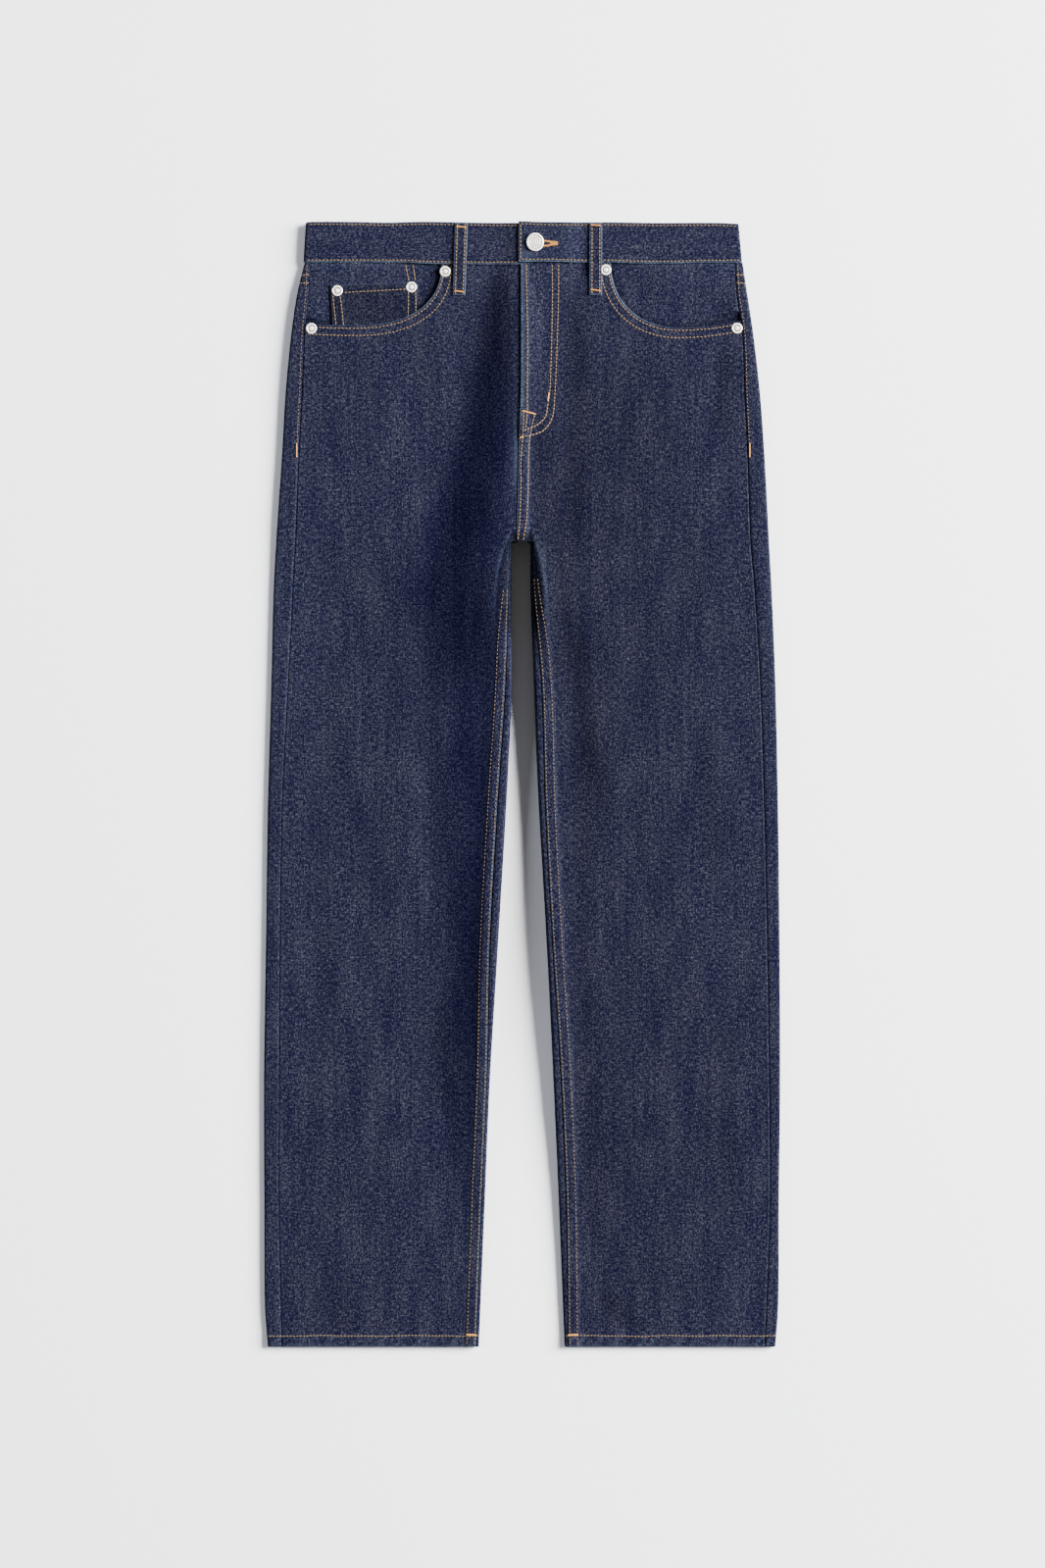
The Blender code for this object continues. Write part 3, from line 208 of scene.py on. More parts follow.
def frontSurface(sign, x, down):
    # Front height plus the laps, felled strips and puckers of one front panel
    edge = along(flyEdge, 1, down)
    upper = 1 - smoothStep(309.0, body["legStart"], down)
    atFly = 1 - smoothStep(196, 221, down)
    if sign > 0:
        lap = 1.6 * atFly * (1 - smoothStep(30, 62, x - edge))
        strip = (1 - smoothStep(9.5, 12.5, x - edge)) * (1 - atFly)
        rise = upper * (lap + 0.6 * strip)
        box = smoothStep(8.2, 3.0, np.abs(x - 4.0 - edge)) * smoothStep(182, 186, down) * atFly
        rise = rise + upper * 0.25 * box
    else:
        rise = -0.35 * upper * atFly * smoothStep(edge - 6, edge, x)
    seam = along(insideOf(sign), 2, down)
    away = (sign * x - seam) / (0.32 + 0.68 * smoothStep(311.0, 352.0, down))
    felled = (1 - smoothStep(8.6, 11.6, away)) * (1 - upper)
    pucker = 0.09 * ripple(down, 7.3, 0.4 + sign) * (1 - smoothStep(6.0, 15.0, away)) * (1 - upper)
    atRise = (1 - smoothStep(9.0, 16.0, np.abs(x - edge))) * upper * (1 - atFly)
    risePucker = 0.08 * ripple(down, 8.1, 1.9) * atRise
    sideSeam = along(sideOf(sign), 2, down) - sign * x
    sidePucker = 0.10 * ripple(down, 8.7, 2.2 + sign) * (1 - smoothStep(2.0, 9.0, np.abs(sideSeam)))
    bead = 0.22 * bell(sideSeam - 1.4, 1.1) * smoothStep(100, 120, down)
    rise = rise + 0.6 * felled + pucker + risePucker + sidePucker + bead
    return frontHeight(x, down) + rise + pocketEdgeRelief(sign, x, down)


# Curved pocket openings: centre, half width, drop, roundness, rise of the run to the side seam
openings = {-1: (164.0, 85.5, 61.4, 2.4, 2.0), 1: (151.5, 65.5, 63.4, 2.15, 6.6)}
openingSize = 62.0  # millimetres to a whole share of an opening's curve
# How far a facing lies below the front's face: least, most, and what is added low down on each side
sinkValues = {"least": 0.25, "most": 1.8, "lower": {-1: 1.3, 1: 0.5}}


def openingReach(sign, out, down):
    # Distance from the opening's middle as a share of its curve: (across^n + depth^n)^(1/n)
    centre, halfWidth, drop, roundness, rise = openings[sign]
    across = np.maximum(centre - out, 0.0) / halfWidth
    lift = rise * np.clip((out - centre) / 45.0, 0.0, 1.2) ** 2
    depth = np.maximum(down - body["bandDepth"] + lift, 0.0) / drop
    return (across**roundness + depth**roundness) ** (1 / roundness)


def pocketEdgeRelief(sign, x, down):
    # A double layer for 11.5 mm round the opening, with small puckers between its two rows of stitches
    reach = openingReach(sign, sign * x, down)
    away = (reach - 1.0) * openingSize
    layer = (1 - smoothStep(10.5, 13.5, away)) * (1 - smoothStep(150, 170, down))
    angle = np.arctan2(down - body["bandDepth"], openings[sign][0] - sign * x)
    pucker = 0.09 * ripple(angle * 70.0, 6.1, 0.8) * bell(away - 6.0, 3.5)
    return layer * (0.3 + pucker)


def openingPoint(sign, share, margin):
    # Point of a rounded oval: share 0 at the waistband, 1 at its lowest point, margin further out
    centre, halfWidth, drop, roundness, rise = openings[sign]
    angle = share * math.pi / 2
    out = centre - (halfWidth + margin) * np.cos(angle) ** (2 / roundness)
    down = body["bandDepth"] + (drop + margin) * np.sin(angle) ** (2 / roundness)
    return out, down


def sinking(sign, out, down):
    # Depth of a facing below the front's face: shallow at the opening's middle, deepest under the front panel
    v = sinkValues
    reach = openingReach(sign, out, down)
    deepest = v["most"] + v["lower"][sign] * smoothStep(42, 62, down)
    inward = smoothStep(3.0, 26.0, along(sideOf(sign), 2, down) - out)
    share = inward * smoothStep(0.25, 0.93, reach) + (1 - inward) * smoothStep(0.88, 0.98, reach)
    return v["least"] + (deepest - v["least"]) * share


def toMetres(points):
    # x, 545 - down, z, all divided by 1000
    result = np.empty(points.shape)
    result[..., 0] = points[..., 0] / 1000
    result[..., 1] = (body["length"] / 2 - points[..., 1]) / 1000
    result[..., 2] = points[..., 2] / 1000
    return result


def twoFaces(x, down, outer, inner):
    # Points of a wall's two faces over one plan
    return [np.stack(np.broadcast_arrays(x, down, z), axis=-1) for z in (outer, inner)]


def linkObject(name, data):
    # A new object in the scene
    item = bpy.data.objects.new(name, data)
    bpy.context.scene.collection.objects.link(item)
    return item


def addMesh(name, points, quads, material, maps=None, values=None):
    # A mesh from whole arrays: points in millimetres, quads of point numbers, maps and values for each point
    mesh = bpy.data.meshes.new(name)
    mesh.vertices.add(len(points))
    mesh.vertices.foreach_set("co", toMetres(points).astype(np.float32).ravel())
    mesh.loops.add(quads.size)
    mesh.loops.foreach_set("vertex_index", quads.astype(np.int32).ravel())
    mesh.polygons.add(len(quads))
    mesh.polygons.foreach_set("loop_start", np.arange(0, quads.size, 4, dtype=np.int32))
    mesh.update(calc_edges=True)
    mesh.shade_smooth()
    if maps is not None:
        layer = mesh.uv_layers.new(name="cloth")
        layer.data.foreach_set("uv", (maps[quads.ravel()] / 1000).astype(np.float32).ravel())
    for key, value in (values or {}).items():
        attribute = mesh.attributes.new(key, "FLOAT", "POINT")
        attribute.data.foreach_set("value", value.astype(np.float32).ravel())
    mesh.materials.append(material)
    item = linkObject(name, mesh)
    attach(item, "root")
    return item


def gridQuads(rows, columns, start, flip):
    # Numbers of the four corners of each cell of a grid
    index = start + np.arange(rows * columns).reshape(rows, columns)
    corners = [index[:-1, :-1], index[:-1, 1:], index[1:, 1:], index[1:, :-1]]
    if flip:
        corners.reverse()
    return np.stack(corners, axis=-1).reshape(-1, 4)


def roundEdges(outer, inner, distance, radius):
    # Near an edge both faces close in on their middle: half the wall times sqrt(1 - (1 - distance/radius)^2)
    t = np.clip(distance / radius, 0.0, 1.0)
    share = np.maximum(np.sqrt(1 - (1 - t) ** 2), 0.12)[..., None]
    middle = (outer + inner) / 2
    return middle + (outer - middle) * share, middle + (inner - middle) * share


def roundedFaces(x, down, top, low, radius):
    # Two faces over one plan with rounded edges, and each point's distance from the edge
    outer, inner = twoFaces(x, down, top, low)
    distance = edgeDistance(outer)
    return *roundEdges(outer, inner, distance, radius), distance


def addShell(node, outer, inner, maps, values, material):
    # A closed wall: the outer grid, the inner grid and a strip of quads round their shared border
    rows, columns = outer.shape[:2]
    across = outer[1:, :-1] - outer[:-1, :-1]
    onward = outer[:-1, 1:] - outer[:-1, :-1]
    wall = outer[:-1, :-1] - inner[:-1, :-1]
    flip = np.sum(np.cross(onward, across) * wall) < 0
    quads = [gridQuads(rows, columns, 0, not flip), gridQuads(rows, columns, rows * columns, flip)]
    index = np.arange(rows * columns).reshape(rows, columns)
    rim = np.concatenate([index[0, :-1], index[:-1, -1], index[-1, :0:-1], index[:0:-1, 0]])
    there = np.roll(rim, -1)
    strip = np.stack([rim, there, there + rows * columns, rim + rows * columns], axis=-1)
    quads.append(strip if not flip else strip[:, ::-1])
    points = np.concatenate([outer.reshape(-1, 3), inner.reshape(-1, 3)])
    flat = np.concatenate([maps.reshape(-1, 2), maps.reshape(-1, 2) + [400.0, 0.0]])
    both = {key: np.concatenate([value.ravel(), value.ravel()]) for key, value in values.items()}
    item = addMesh(f"{node}_cloth", points, np.concatenate(quads), material, flat, both)
    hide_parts(node)
    return item


def newMaterial(name, roughness, metallic=0.0):
    # An empty shader with its constant values set
    material = bpy.data.materials.new(name)
    material.use_nodes = True
    shader = material.node_tree.nodes["Principled BSDF"]
    shader.inputs["Roughness"].default_value = roughness
    shader.inputs["Metallic"].default_value = metallic
    return material, material.node_tree, shader


def addNode(tree, kind, settings=None, inputs=None):
    # One node with its settings, and its inputs given as values or as the sockets to link from
    node = tree.nodes.new(kind)
    for key, value in (settings or {}).items():
        setattr(node, key, value)
    for key, value in (inputs or {}).items():
        if isinstance(value, bpy.types.NodeSocket):
            tree.links.new(value, node.inputs[key])
        else:
            node.inputs[key].default_value = value
    return node


def addMath(tree, kind, first, second=0.0):
    # One arithmetic node on two values or sockets
    return addNode(tree, "ShaderNodeMath", {"operation": kind}, {0: first, 1: second}).outputs[0]


def addScaled(tree, total, value, share):
    # total + value * share, or the product alone where there is no total yet
    scaled = addMath(tree, "MULTIPLY", value, share)
    return scaled if total is None else addMath(tree, "ADD", total, scaled)


def addNoise(tree, vector, stretch, scale, detail):
    # Noise on a stretched copy of the map, 0 to 1
    mapping = addNode(tree, "ShaderNodeMapping", None, {"Vector": vector, "Scale": stretch})
    inputs = {"Vector": mapping.outputs[0], "Scale": scale, "Detail": detail}
    return addNode(tree, "ShaderNodeTexNoise", {"noise_dimensions": "2D"}, inputs).outputs["Fac"]


def addOwnNoise(tree, scale, detail):
    # Noise in the object's own place, 0 to 1
    place = addNode(tree, "ShaderNodeTexCoord").outputs["Object"]
    inputs = {"Vector": place, "Scale": scale, "Detail": detail}
    return addNode(tree, "ShaderNodeTexNoise", None, inputs).outputs["Fac"]


def addRange(tree, value, low, high, end):
    # From: the value's low to high becomes 0 to 1; To: its 0 to 1 becomes low to high
    inputs = {"Value": value, f"{end} Min": low, f"{end} Max": high}
    return addNode(tree, "ShaderNodeMapRange", None, inputs).outputs[0]


def readValue(tree, name):
    # A value that the mesh keeps for each of its points
    return addNode(tree, "ShaderNodeAttribute", {"attribute_name": name}).outputs["Fac"]


def mixColour(tree, share, first, second):
    # first * (1 - share) + second * share
    return addNode(tree, "ShaderNodeMix", {"data_type": "RGBA"}, {0: share, 6: first, 7: second}).outputs[2]


# Denim: colours are linear, the last a painted shade tint; each grain has its stretch along x and down,
# repeats a metre, detail and share
denimValues = {
    "dark": (0.0016, 0.0019, 0.0108, 1.0), "light": (0.0425, 0.0435, 0.0560, 1.0),
    "worn": (0.095, 0.130, 0.185, 1.0), "paintedShadeTint": (0.84, 0.82, 1.22, 1.0),
    "grains": {
        "fleck": ((1.12, 0.86, 1), 640.0, 2.0, 0.42), "warp": ((1, 0.40, 1), 700.0, 1.0, 0.28),
        "weft": ((0.24, 1, 1), 760.0, 1.0, 0.21), "slub": ((1, 0.035, 1), 300.0, 1.0, 0.07),
        "mottle": ((1, 0.36, 1), 46.0, 3.0, 0.10),
    },
    "twill": 330.0, "twillAngle": -28.0, "twillShare": 0.09,
    "lowest": 0.494, "highest": 0.790, "contrast": 1.7,
    "speckle": 900.0, "speckleLow": 0.30, "speckleHigh": 0.62,
    "fleckRelief": 0.8, "warpRelief": 0.5, "twillRelief": 0.35, "bump": 0.35, "bumpHeight": 0.00035,
    "roughness": 0.92, "specular": 0.015,
}


def makeDenim():
    # Dark warp and light weft: the share of light is a power of the summed flecks, threads and twill lines
    v = denimValues
    material, tree, shader = newMaterial("denim_cloth", v["roughness"])
    shader.inputs["Specular IOR Level"].default_value = v["specular"]
    cloth = addNode(tree, "ShaderNodeUVMap", {"uv_map": "cloth"}).outputs[0]
    grains = {name: addNoise(tree, cloth, *grain[:3]) for name, grain in v["grains"].items()}
    slant = (0, 0, math.radians(v["twillAngle"]))
    turned = addNode(tree, "ShaderNodeMapping", None, {"Vector": cloth, "Rotation": slant})
    inputs = {"Vector": turned.outputs[0], "Scale": v["twill"], "Distortion": 1.2, "Detail": 1.0}
    twill = addNode(tree, "ShaderNodeTexWave", None, inputs).outputs["Fac"]
    total = None
    for name, grain in v["grains"].items():
        total = addScaled(tree, total, grains[name], grain[3])
    total = addScaled(tree, total, twill, v["twillShare"])
    spread = addRange(tree, total, v["lowest"], v["highest"], "From")
    colour = mixColour(tree, addMath(tree, "POWER", spread, v["contrast"]), v["dark"], v["light"])
    speckle = addNoise(tree, cloth, (1, 1, 1), v["speckle"], 1.0)
    spots = addRange(tree, speckle, v["speckleLow"], v["speckleHigh"], "From")
    colour = mixColour(tree, addMath(tree, "MULTIPLY", readValue(tree, "wear"), spots), colour, v["worn"])
    # Painted shade: the shaded slope is tinted bluer, then the colour is darkened by the painted shade in the
    # tone
    tint = mixColour(tree, readValue(tree, "paintedBlueShade"), (1, 1, 1, 1), v["paintedShadeTint"])
    colour = addNode(tree, "ShaderNodeVectorMath", {"operation": "MULTIPLY"}, {0: colour, 1: tint}).outputs[0]
    colour = mixColour(tree, readValue(tree, "toneAndPaintedShade"), (0, 0, 0, 1), colour)
    tree.links.new(colour, shader.inputs["Base Color"])
    relief = None
    for name in ("fleck", "warp", "twill"):
        relief = addScaled(tree, relief, twill if name == "twill" else grains[name], v[f"{name}Relief"])
    inputs = {"Height": relief, "Strength": v["bump"], "Distance": v["bumpHeight"]}
    tree.links.new(addNode(tree, "ShaderNodeBump", None, inputs).outputs[0], shader.inputs["Normal"])
    return material


# Threads: light and dark linear colours of each kind, and the grain and roughness of all
threadValues = {
    "tan": ((0.140, 0.082, 0.022, 1), (0.074, 0.042, 0.011, 1)),
    "orange": ((0.54, 0.215, 0.013, 1), (0.35, 0.130, 0.007, 1)),
    "gold": ((0.34, 0.145, 0.012, 1), (0.20, 0.080, 0.006, 1)),
    "grain": 900.0, "roughness": 0.62,
}


def makeThread(kind):
    # Twisted thread: two shades mixed by noise in the object's own place
    v = threadValues
    light, dark = v[kind]
    material, tree, shader = newMaterial(f"{kind}_thread", v["roughness"])
    noise = addOwnNoise(tree, v["grain"], 1.0)
    tree.links.new(mixColour(tree, noise, dark, light), shader.inputs["Base Color"])
    return material


# Nickel: linear colours, the last painted shade for the grooves, how metallic and rough, repeats a metre of
# its polish, which varies the roughness between a least and a most
nickelValues = {
    "dark": (0.80, 0.75, 0.66, 1), "light": (0.97, 0.93, 0.85, 1), "paintedGrooveShade": (0.12, 0.10, 0.08, 1),
    "metallic": 0.2, "roughness": 0.34, "polish": 1400.0, "smooth": 0.24, "rough": 0.42,
}


def makeMetal():
    # Satin nickel: light grey with a faint uneven polish, and painted shade in the grooves
    v = nickelValues
    material, tree, shader = newMaterial("nickel_metal", v["roughness"], v["metallic"])
    noise = addOwnNoise(tree, v["polish"], 2.0)
    colour = mixColour(tree, noise, v["dark"], v["light"])
    colour = mixColour(tree, readValue(tree, "paintedGrooveShade"), colour, v["paintedGrooveShade"])
    tree.links.new(colour, shader.inputs["Base Color"])
    tree.links.new(addRange(tree, noise, v["smooth"], v["rough"], "To"), shader.inputs["Roughness"])
    return material


denim = makeDenim()
tanThread = makeThread("tan")
orangeThread = makeThread("orange")
goldThread = makeThread("gold")
nickel = makeMetal()
print("materials made")

# Painted shade in the deep trough beside the fly and the right inseam: down, middle, half width, share of the
# colour's brightness painted away
paintedTroughShade = np.array([
    (35, -18, 7, 0.20), (60, -21, 12, 0.40), (84, -23, 16, 0.48), (120, -25, 19, 0.42),
    (179, -27, 24, 0.22), (274, -40, 26, 0.10), (369, -59, 30, 0.05), (464, -58, 26, 0.0),
    (779, -62, 17, 0.0),
], dtype=float)
# Bands of painted shade and, with a negative share, painted light: same columns as the folds
paintedShadeBands = np.array([
    (50, 60, 50, 330, 15, 0.30, 0), (50, 380, 74, 570, 11, 0.30, 2), (88, 130, 96, 330, 22, 0.12, 2),
    (-112, 130, -104, 330, 15, -0.08, 2), (-130, 420, -140, 760, 30, 0.06, 2),
    (12, 60, 13, 200, 14, -0.34, 0), (2, 186, 0, 304, 6, -1.25, 0), (150, 60, 150, 1120, 110, 0.07, 0),
    (60, 480, 66, 620, 12, 0.12, 1), (196, 118, 194, 210, 10, 0.20, 2), (192, 740, 190, 960, 16, 0.14, 2),
    (176, 480, 184, 640, 13, 0.12, 2), (78, 1036, 104, 1072, 11, 0.24, 1), (-96, 90, -98, 200, 12, 0.08, 2),
    (-150, 200, -128, 330, 14, -0.08, 3), (-200, 250, -205, 520, 10, -0.08, 2),
    (-84, 760, -78, 860, 12, 0.14, 2), (-190, 1020, -176, 1080, 16, 0.12, 2),
    (-70, 760, -62, 930, 12, 0.12, 2), (-168, 640, -150, 760, 18, -0.07, 3),
    (130, 820, 124, 1000, 22, -0.06, 3), (110, 830, 112, 1085, 60, 0.08, 1),
    (120, 130, 132, 240, 18, 0.12, 3),
], dtype=float)
# Tone of all the cloth; painted shade on the rolled edges, on the slope facing the wearer's left, and bluer
# on the other
shadeValues = {"whole": 0.97, "rolled": 0.55, "leftSlope": 2.6, "rightSlope": 3.0}


def paintedTroughShadeAt(x, down):
    # Painted shade: a flat-topped bell curve round the trough's middle, e^-away^3, times its depth, within
    # the table's rows
    away = np.abs(x - along(paintedTroughShade, 1, down)) / along(paintedTroughShade, 2, down)
    within = (down > paintedTroughShade[0, 0] + 1) * (down < paintedTroughShade[-1, 0])
    return along(paintedTroughShade, 3, down) * np.exp(-(away**3.0)) * within


def crownSlope(x, down):
    # How steeply the raised middle falls to the wearer's left over 4 mm
    return (crownHeight(x - 2.0, down) - crownHeight(x + 2.0, down)) / 4.0


def paintedBlueShadeAt(x, down):
    # Painted shade: the slope that faces the wearer's right is tinted bluer
    return np.clip(-shadeValues["rightSlope"] * crownSlope(x, down), 0.0, 1.0)


def toneAndPaintedShadeAt(x, down):
    # Painted shade times the tone of all the cloth: 1 less the trough's, less where the inner edges roll
    # down, times
    # 1 less each band's, which is painted light where it is negative, and less on the slope that faces the
    # wearer's left
    v = shadeValues
    rolled = np.clip(1 - (np.abs(x) - innerOutline(x, down)) / along(roll, 1, down), 0.0, 1.0)
    rolled = rolled * smoothStep(301.0, 306.0, down) * (1 - smoothStep(335.0, 430.0, down))
    total = (1 - np.clip(paintedTroughShadeAt(x, down), 0.0, 0.9)) * (1 - v["rolled"] * smoothStep(0.0, 0.35, rolled))
    for row in paintedShadeBands:
        total = total * (1 - bellSum(row[None], x, down))
    return v["whole"] * total / (1 + v["leftSlope"] * np.maximum(crownSlope(x, down), 0.0))


# The band's wavy lower edge: x and down on the lapped left half and on the right half
lapLow = np.array([
    (-5.0, 38.7), (14.0, 38.7), (30.0, 38.8), (52.0, 39.3), (90.0, 39.4), (108.0, 40.2), (150.0, 40.3),
    (172.0, 39.6), (214.0, 39.4),
])
underLow = np.array([
    (-214.0, 39.3), (-116.0, 39.4), (-100.0, 40.2), (-85.0, 40.8), (-47.0, 41.2), (40.0, 41.2),
])


def bandDroop(sign, x, down):
    # How far a front's cloth hangs lower with the band's edge: all of it at the edge, none 36 mm below
    low = along(lapLow if sign > 0 else underLow, 1, x)
    return (low - body["bandDepth"]) * (1 - smoothStep(body["bandDepth"], body["bandDepth"] + 36.0, down))


# Front panels: numbers of rows and columns, down at the fly of the rows that start at the opening's lowest
# point and at its end, the fly's end, how far the side edge keeps from its seam, how strongly the edges' wear
# and painted highlight show, and the cut in metres: width, length, area
frontValues = {
    "pocketRows": 34, "runRows": 22, "seatRows": 74, "legRows": 300, "middleColumns": 38,
    "lowestDown": 118.651, "openingDown": 148.0, "crotchDown": 310.2, "sideGap": 0.12, "edgeWearAndHighlight": 1.0,
    "cut": (0.245, 1.051, 0.213),
}
# Distances of the close columns from the pocket or side seam, and from the fly or inseam
startEdge = np.array([0, 0.2, 0.5, 0.9, 1.5, 2.4, 3.6, 5.2, 7.5])
finishEdge = np.array([18, 15.5, 14, 12.8, 11.6, 10.4, 9.2, 7.6, 6, 4.4, 3.0, 1.9, 1.1, 0.6, 0.25, 0])


def flyLine(sign, down):
    # Edge of a front panel at the fly: the right one runs on under the left one as a tab
    edge = along(flyEdge, 1, down)
    if sign > 0:
        return edge
    return edge - body["gap"] + 7.5 * (1 - smoothStep(170, 196, down))


def sideStart(sign):
    # Down where a pocket opening meets the side seam
    return body["bandDepth"] + openings[sign][2] - openings[sign][4]


def sideRun(sign, share):
    # The opening's run from its lowest point to the side seam: a straight line out, rising with share squared
    centre, halfWidth, drop, roundness, rise = openings[sign]
    endOut = along(sideOf(sign), 2, sideStart(sign)) - body["gap"]
    return centre + (endOut - centre) * share, body["bandDepth"] + drop - rise * share**2


def frontRows(sign):
    # Both ends of each row of a front panel: x and down at the pocket or side seam, x and down at the inside
    v = frontValues
    out, down = openingPoint(sign, np.linspace(0, 1, v["pocketRows"], endpoint=False), 0.0)
    runOut, runDown = sideRun(sign, np.linspace(0, 1, v["runRows"], endpoint=False))
    seatDown = np.linspace(sideStart(sign), body["seatEnd"], v["seatRows"])
    flyDown = np.concatenate([
        np.linspace(clothTop, v["lowestDown"], v["pocketRows"], endpoint=False),
        np.linspace(v["lowestDown"], v["openingDown"], v["runRows"], endpoint=False),
        np.linspace(v["openingDown"], v["crotchDown"], v["seatRows"]),
    ])
    legDown = np.concatenate([np.linspace(body["legStart"], body["legEnd"], v["legRows"]), hemRows])
    seatSide = along(sideOf(sign), 2, seatDown) - v["sideGap"]
    upper = [
        np.concatenate([out, runOut, seatSide]),
        np.concatenate([np.maximum(down, clothTop), runDown, seatDown]),
        sign * flyLine(sign, flyDown), flyDown,
    ]
    legSide = along(sideOf(sign), 2, legDown) - v["sideGap"]
    legs = [legSide, legDown, along(insideOf(sign), 2, legDown) + body["gap"], legDown]
    crotch = np.linspace(0, 1, 5)[1:-1]
    rows = [np.concatenate([a, a[-1] + (b[0] - a[-1]) * crotch, b]) for a, b in zip(upper, legs)]
    return sign * rows[0], rows[1], sign * rows[2], rows[3]


def wallAt(down):
    # One layer of denim, and two at the turned-up hem
    return body["wall"] + hemShare(down)


def frontWearAndHighlight(sign, x, down, fromSide, fromInside, opening):
    # Bell curves of wear along the opening, inseam, fly, rise and hem, and of painted highlight on the rolled
    # crest
    wear = np.where(opening, 0.62 * bell(fromSide, 1.5), 0.10 * bell(fromSide, 1.0) * (down > 225))
    inseam = 0.30 * bell(fromInside, 1.4) + 0.10 * bell(fromInside - 11.0, 1.4)
    legged = smoothStep(309.0, 330.0, down)
    wear = wear + inseam * legged * (0.65 + 0.35 * ripple(down, 7.3, 0.4 + sign))
    fray = 0.8 + 0.2 * ripple(down, 3.1, 1.1)
    if sign > 0:
        atFly = 1 - smoothStep(180.0, 205.0, down)
        wear = wear + atFly * fray * (0.55 * bell(fromInside, 1.3) + 0.20 * bell(fromInside - 2.4, 1.8))
        wear = wear + atFly * 0.13 * bell(fromInside - 7.6, 1.0)
        atRise = (1 - legged) * smoothStep(200.0, 215.0, down)
        wear = wear + atRise * (0.16 * bell(fromInside, 1.6) + 0.08 * bell(fromInside - 10.5, 2.0))
    else:
        beside = smoothStep(165.0, 190.0, down) * (1 - smoothStep(240.0, 275.0, down))
        wear = wear + beside * fray * (0.14 * bell(fromInside - 1.6, 2.6) + 0.05 * bell(fromInside, 9.0))
    # Painted highlight along the crest where the inner edge rolls down
    crest = np.abs(x) - along(insideOf(sign), 1, down) - along(roll, 1, down)
    rolled = smoothStep(300, 306, down) * (1 - smoothStep(335, 420, down))
    wear = wear + 0.22 * bell(crest, 1.1) * rolled
    hem = 0.12 * smoothStep(0.2, 1.0, hemRoping(x, down)) * hemShare(down)
    return np.clip(wear + hem + 0.25 * bell(body["length"] - 0.4 - down, 1.0), 0, 1)


def addFront(sign, hand):
    # Straight rows between the two ends; the top face is the front surface, the lower face one wall under it
    v = frontValues
    sideX, sideDown, insideX, insideDown = frontRows(sign)
    length = np.hypot(sideX - insideX, sideDown - insideDown)[:, None]
    start = startEdge / length
    finish = 1 - finishEdge / length
    steps = np.linspace(0, 1, v["middleColumns"] + 2)[1:-1]
    middle = start[:, -1:] + (finish[:, :1] - start[:, -1:]) * steps
    share = np.concatenate([start, middle, finish], axis=1)
    x = sideX[:, None] + (insideX - sideX)[:, None] * share
    down = sideDown[:, None] + (insideDown - sideDown)[:, None] * share
    top = frontSurface(sign, x, down)
    wall = wallAt(down)
    outer, inner = twoFaces(x, down, top, top - wall)
    edge = np.minimum(share * np.where(sideDown > 100.0, 1.9, 1.0)[:, None], 1 - share) * length
    edge = np.minimum(edge, np.minimum(down - clothTop, body["length"] - down))
    outer, inner = roundEdges(outer, inner, np.maximum(edge, 0.0), wall / 2)
    opening = (np.arange(len(length)) < v["pocketRows"] + v["runRows"])[:, None]
    wear = v["edgeWearAndHighlight"] * frontWearAndHighlight(sign, x, down, share * length, (1 - share) * length, opening)
    outer[..., 1] += bandDroop(sign, x, down)
    inner[..., 1] += bandDroop(sign, x, down)
    maps = np.stack([np.abs(x) + 20.0, 1100.0 - down], axis=-1)
    # The tone carries painted shade and light, and a painted blue tint goes on the shaded slope
    values = {"wear": wear, "toneAndPaintedShade": toneAndPaintedShadeAt(x, down), "paintedBlueShade": paintedBlueShadeAt(x, down)}
    return addShell(f"front_panel_{hand}", outer, inner, maps, values, denim)


addFront(-1, "right")
addFront(1, "left")
print("front panels made")

# Soft creases of the back, where it lifts off the surface: same columns as the other folds
backFolds = np.array([
    (-70, 300, -90, 480, 12, 0.6, 3), (-110, 420, -84, 640, 15, 0.5, 4), (-60, 560, -72, 760, 11, 0.55, 2),
    (-150, 660, -128, 820, 16, 0.4, 3), (-96, 860, -112, 1040, 14, 0.45, 3),
    (-196, 300, -188, 460, 14, 0.4, 2), (64, 310, 92, 470, 13, 0.6, 3), (120, 400, 96, 590, 15, 0.45, 4),
    (72, 600, 84, 760, 11, 0.5, 2), (160, 640, 138, 800, 15, 0.4, 3), (104, 900, 92, 1050, 14, 0.4, 3),
    (198, 320, 190, 500, 13, 0.45, 2), (-24, 150, -30, 270, 8, 0.4, 1), (28, 165, 24, 285, 9, 0.45, 1),
    (-196, 130, -190, 230, 10, 0.3, 2), (206, 120, 200, 215, 9, 0.3, 2),
])
# Back panels and yokes: shares of a row where the side strip, the turn at the side and the flat underside
# end, half the gap of the middle seam, down of the yoke's seam at the side and in the middle, down of the
# seat's and the crotch's last rows in the middle, rows of a leg, and the cuts in metres: width, length, area
backValues = {
    "stripEnd": 0.035, "turnEnd": 0.065, "flatEnd": 0.95, "middle": 0.15,
    "yokeSide": 56.0, "yokeMiddle": 104.0, "riseEnd": 304.6, "crotchEnd": 311.8, "legRows": 270,
    "cut": (0.285, 1.034, 0.256), "yokeCut": (0.226, 0.065, 0.0096),
}


def underHeight(x, down):
    # Height of the back's lower face: the height table, a small lift and the back's creases
    return np.maximum(along(heights, 2, down), 0.0) + body["lift"] + bellSum(backFolds, x, down)


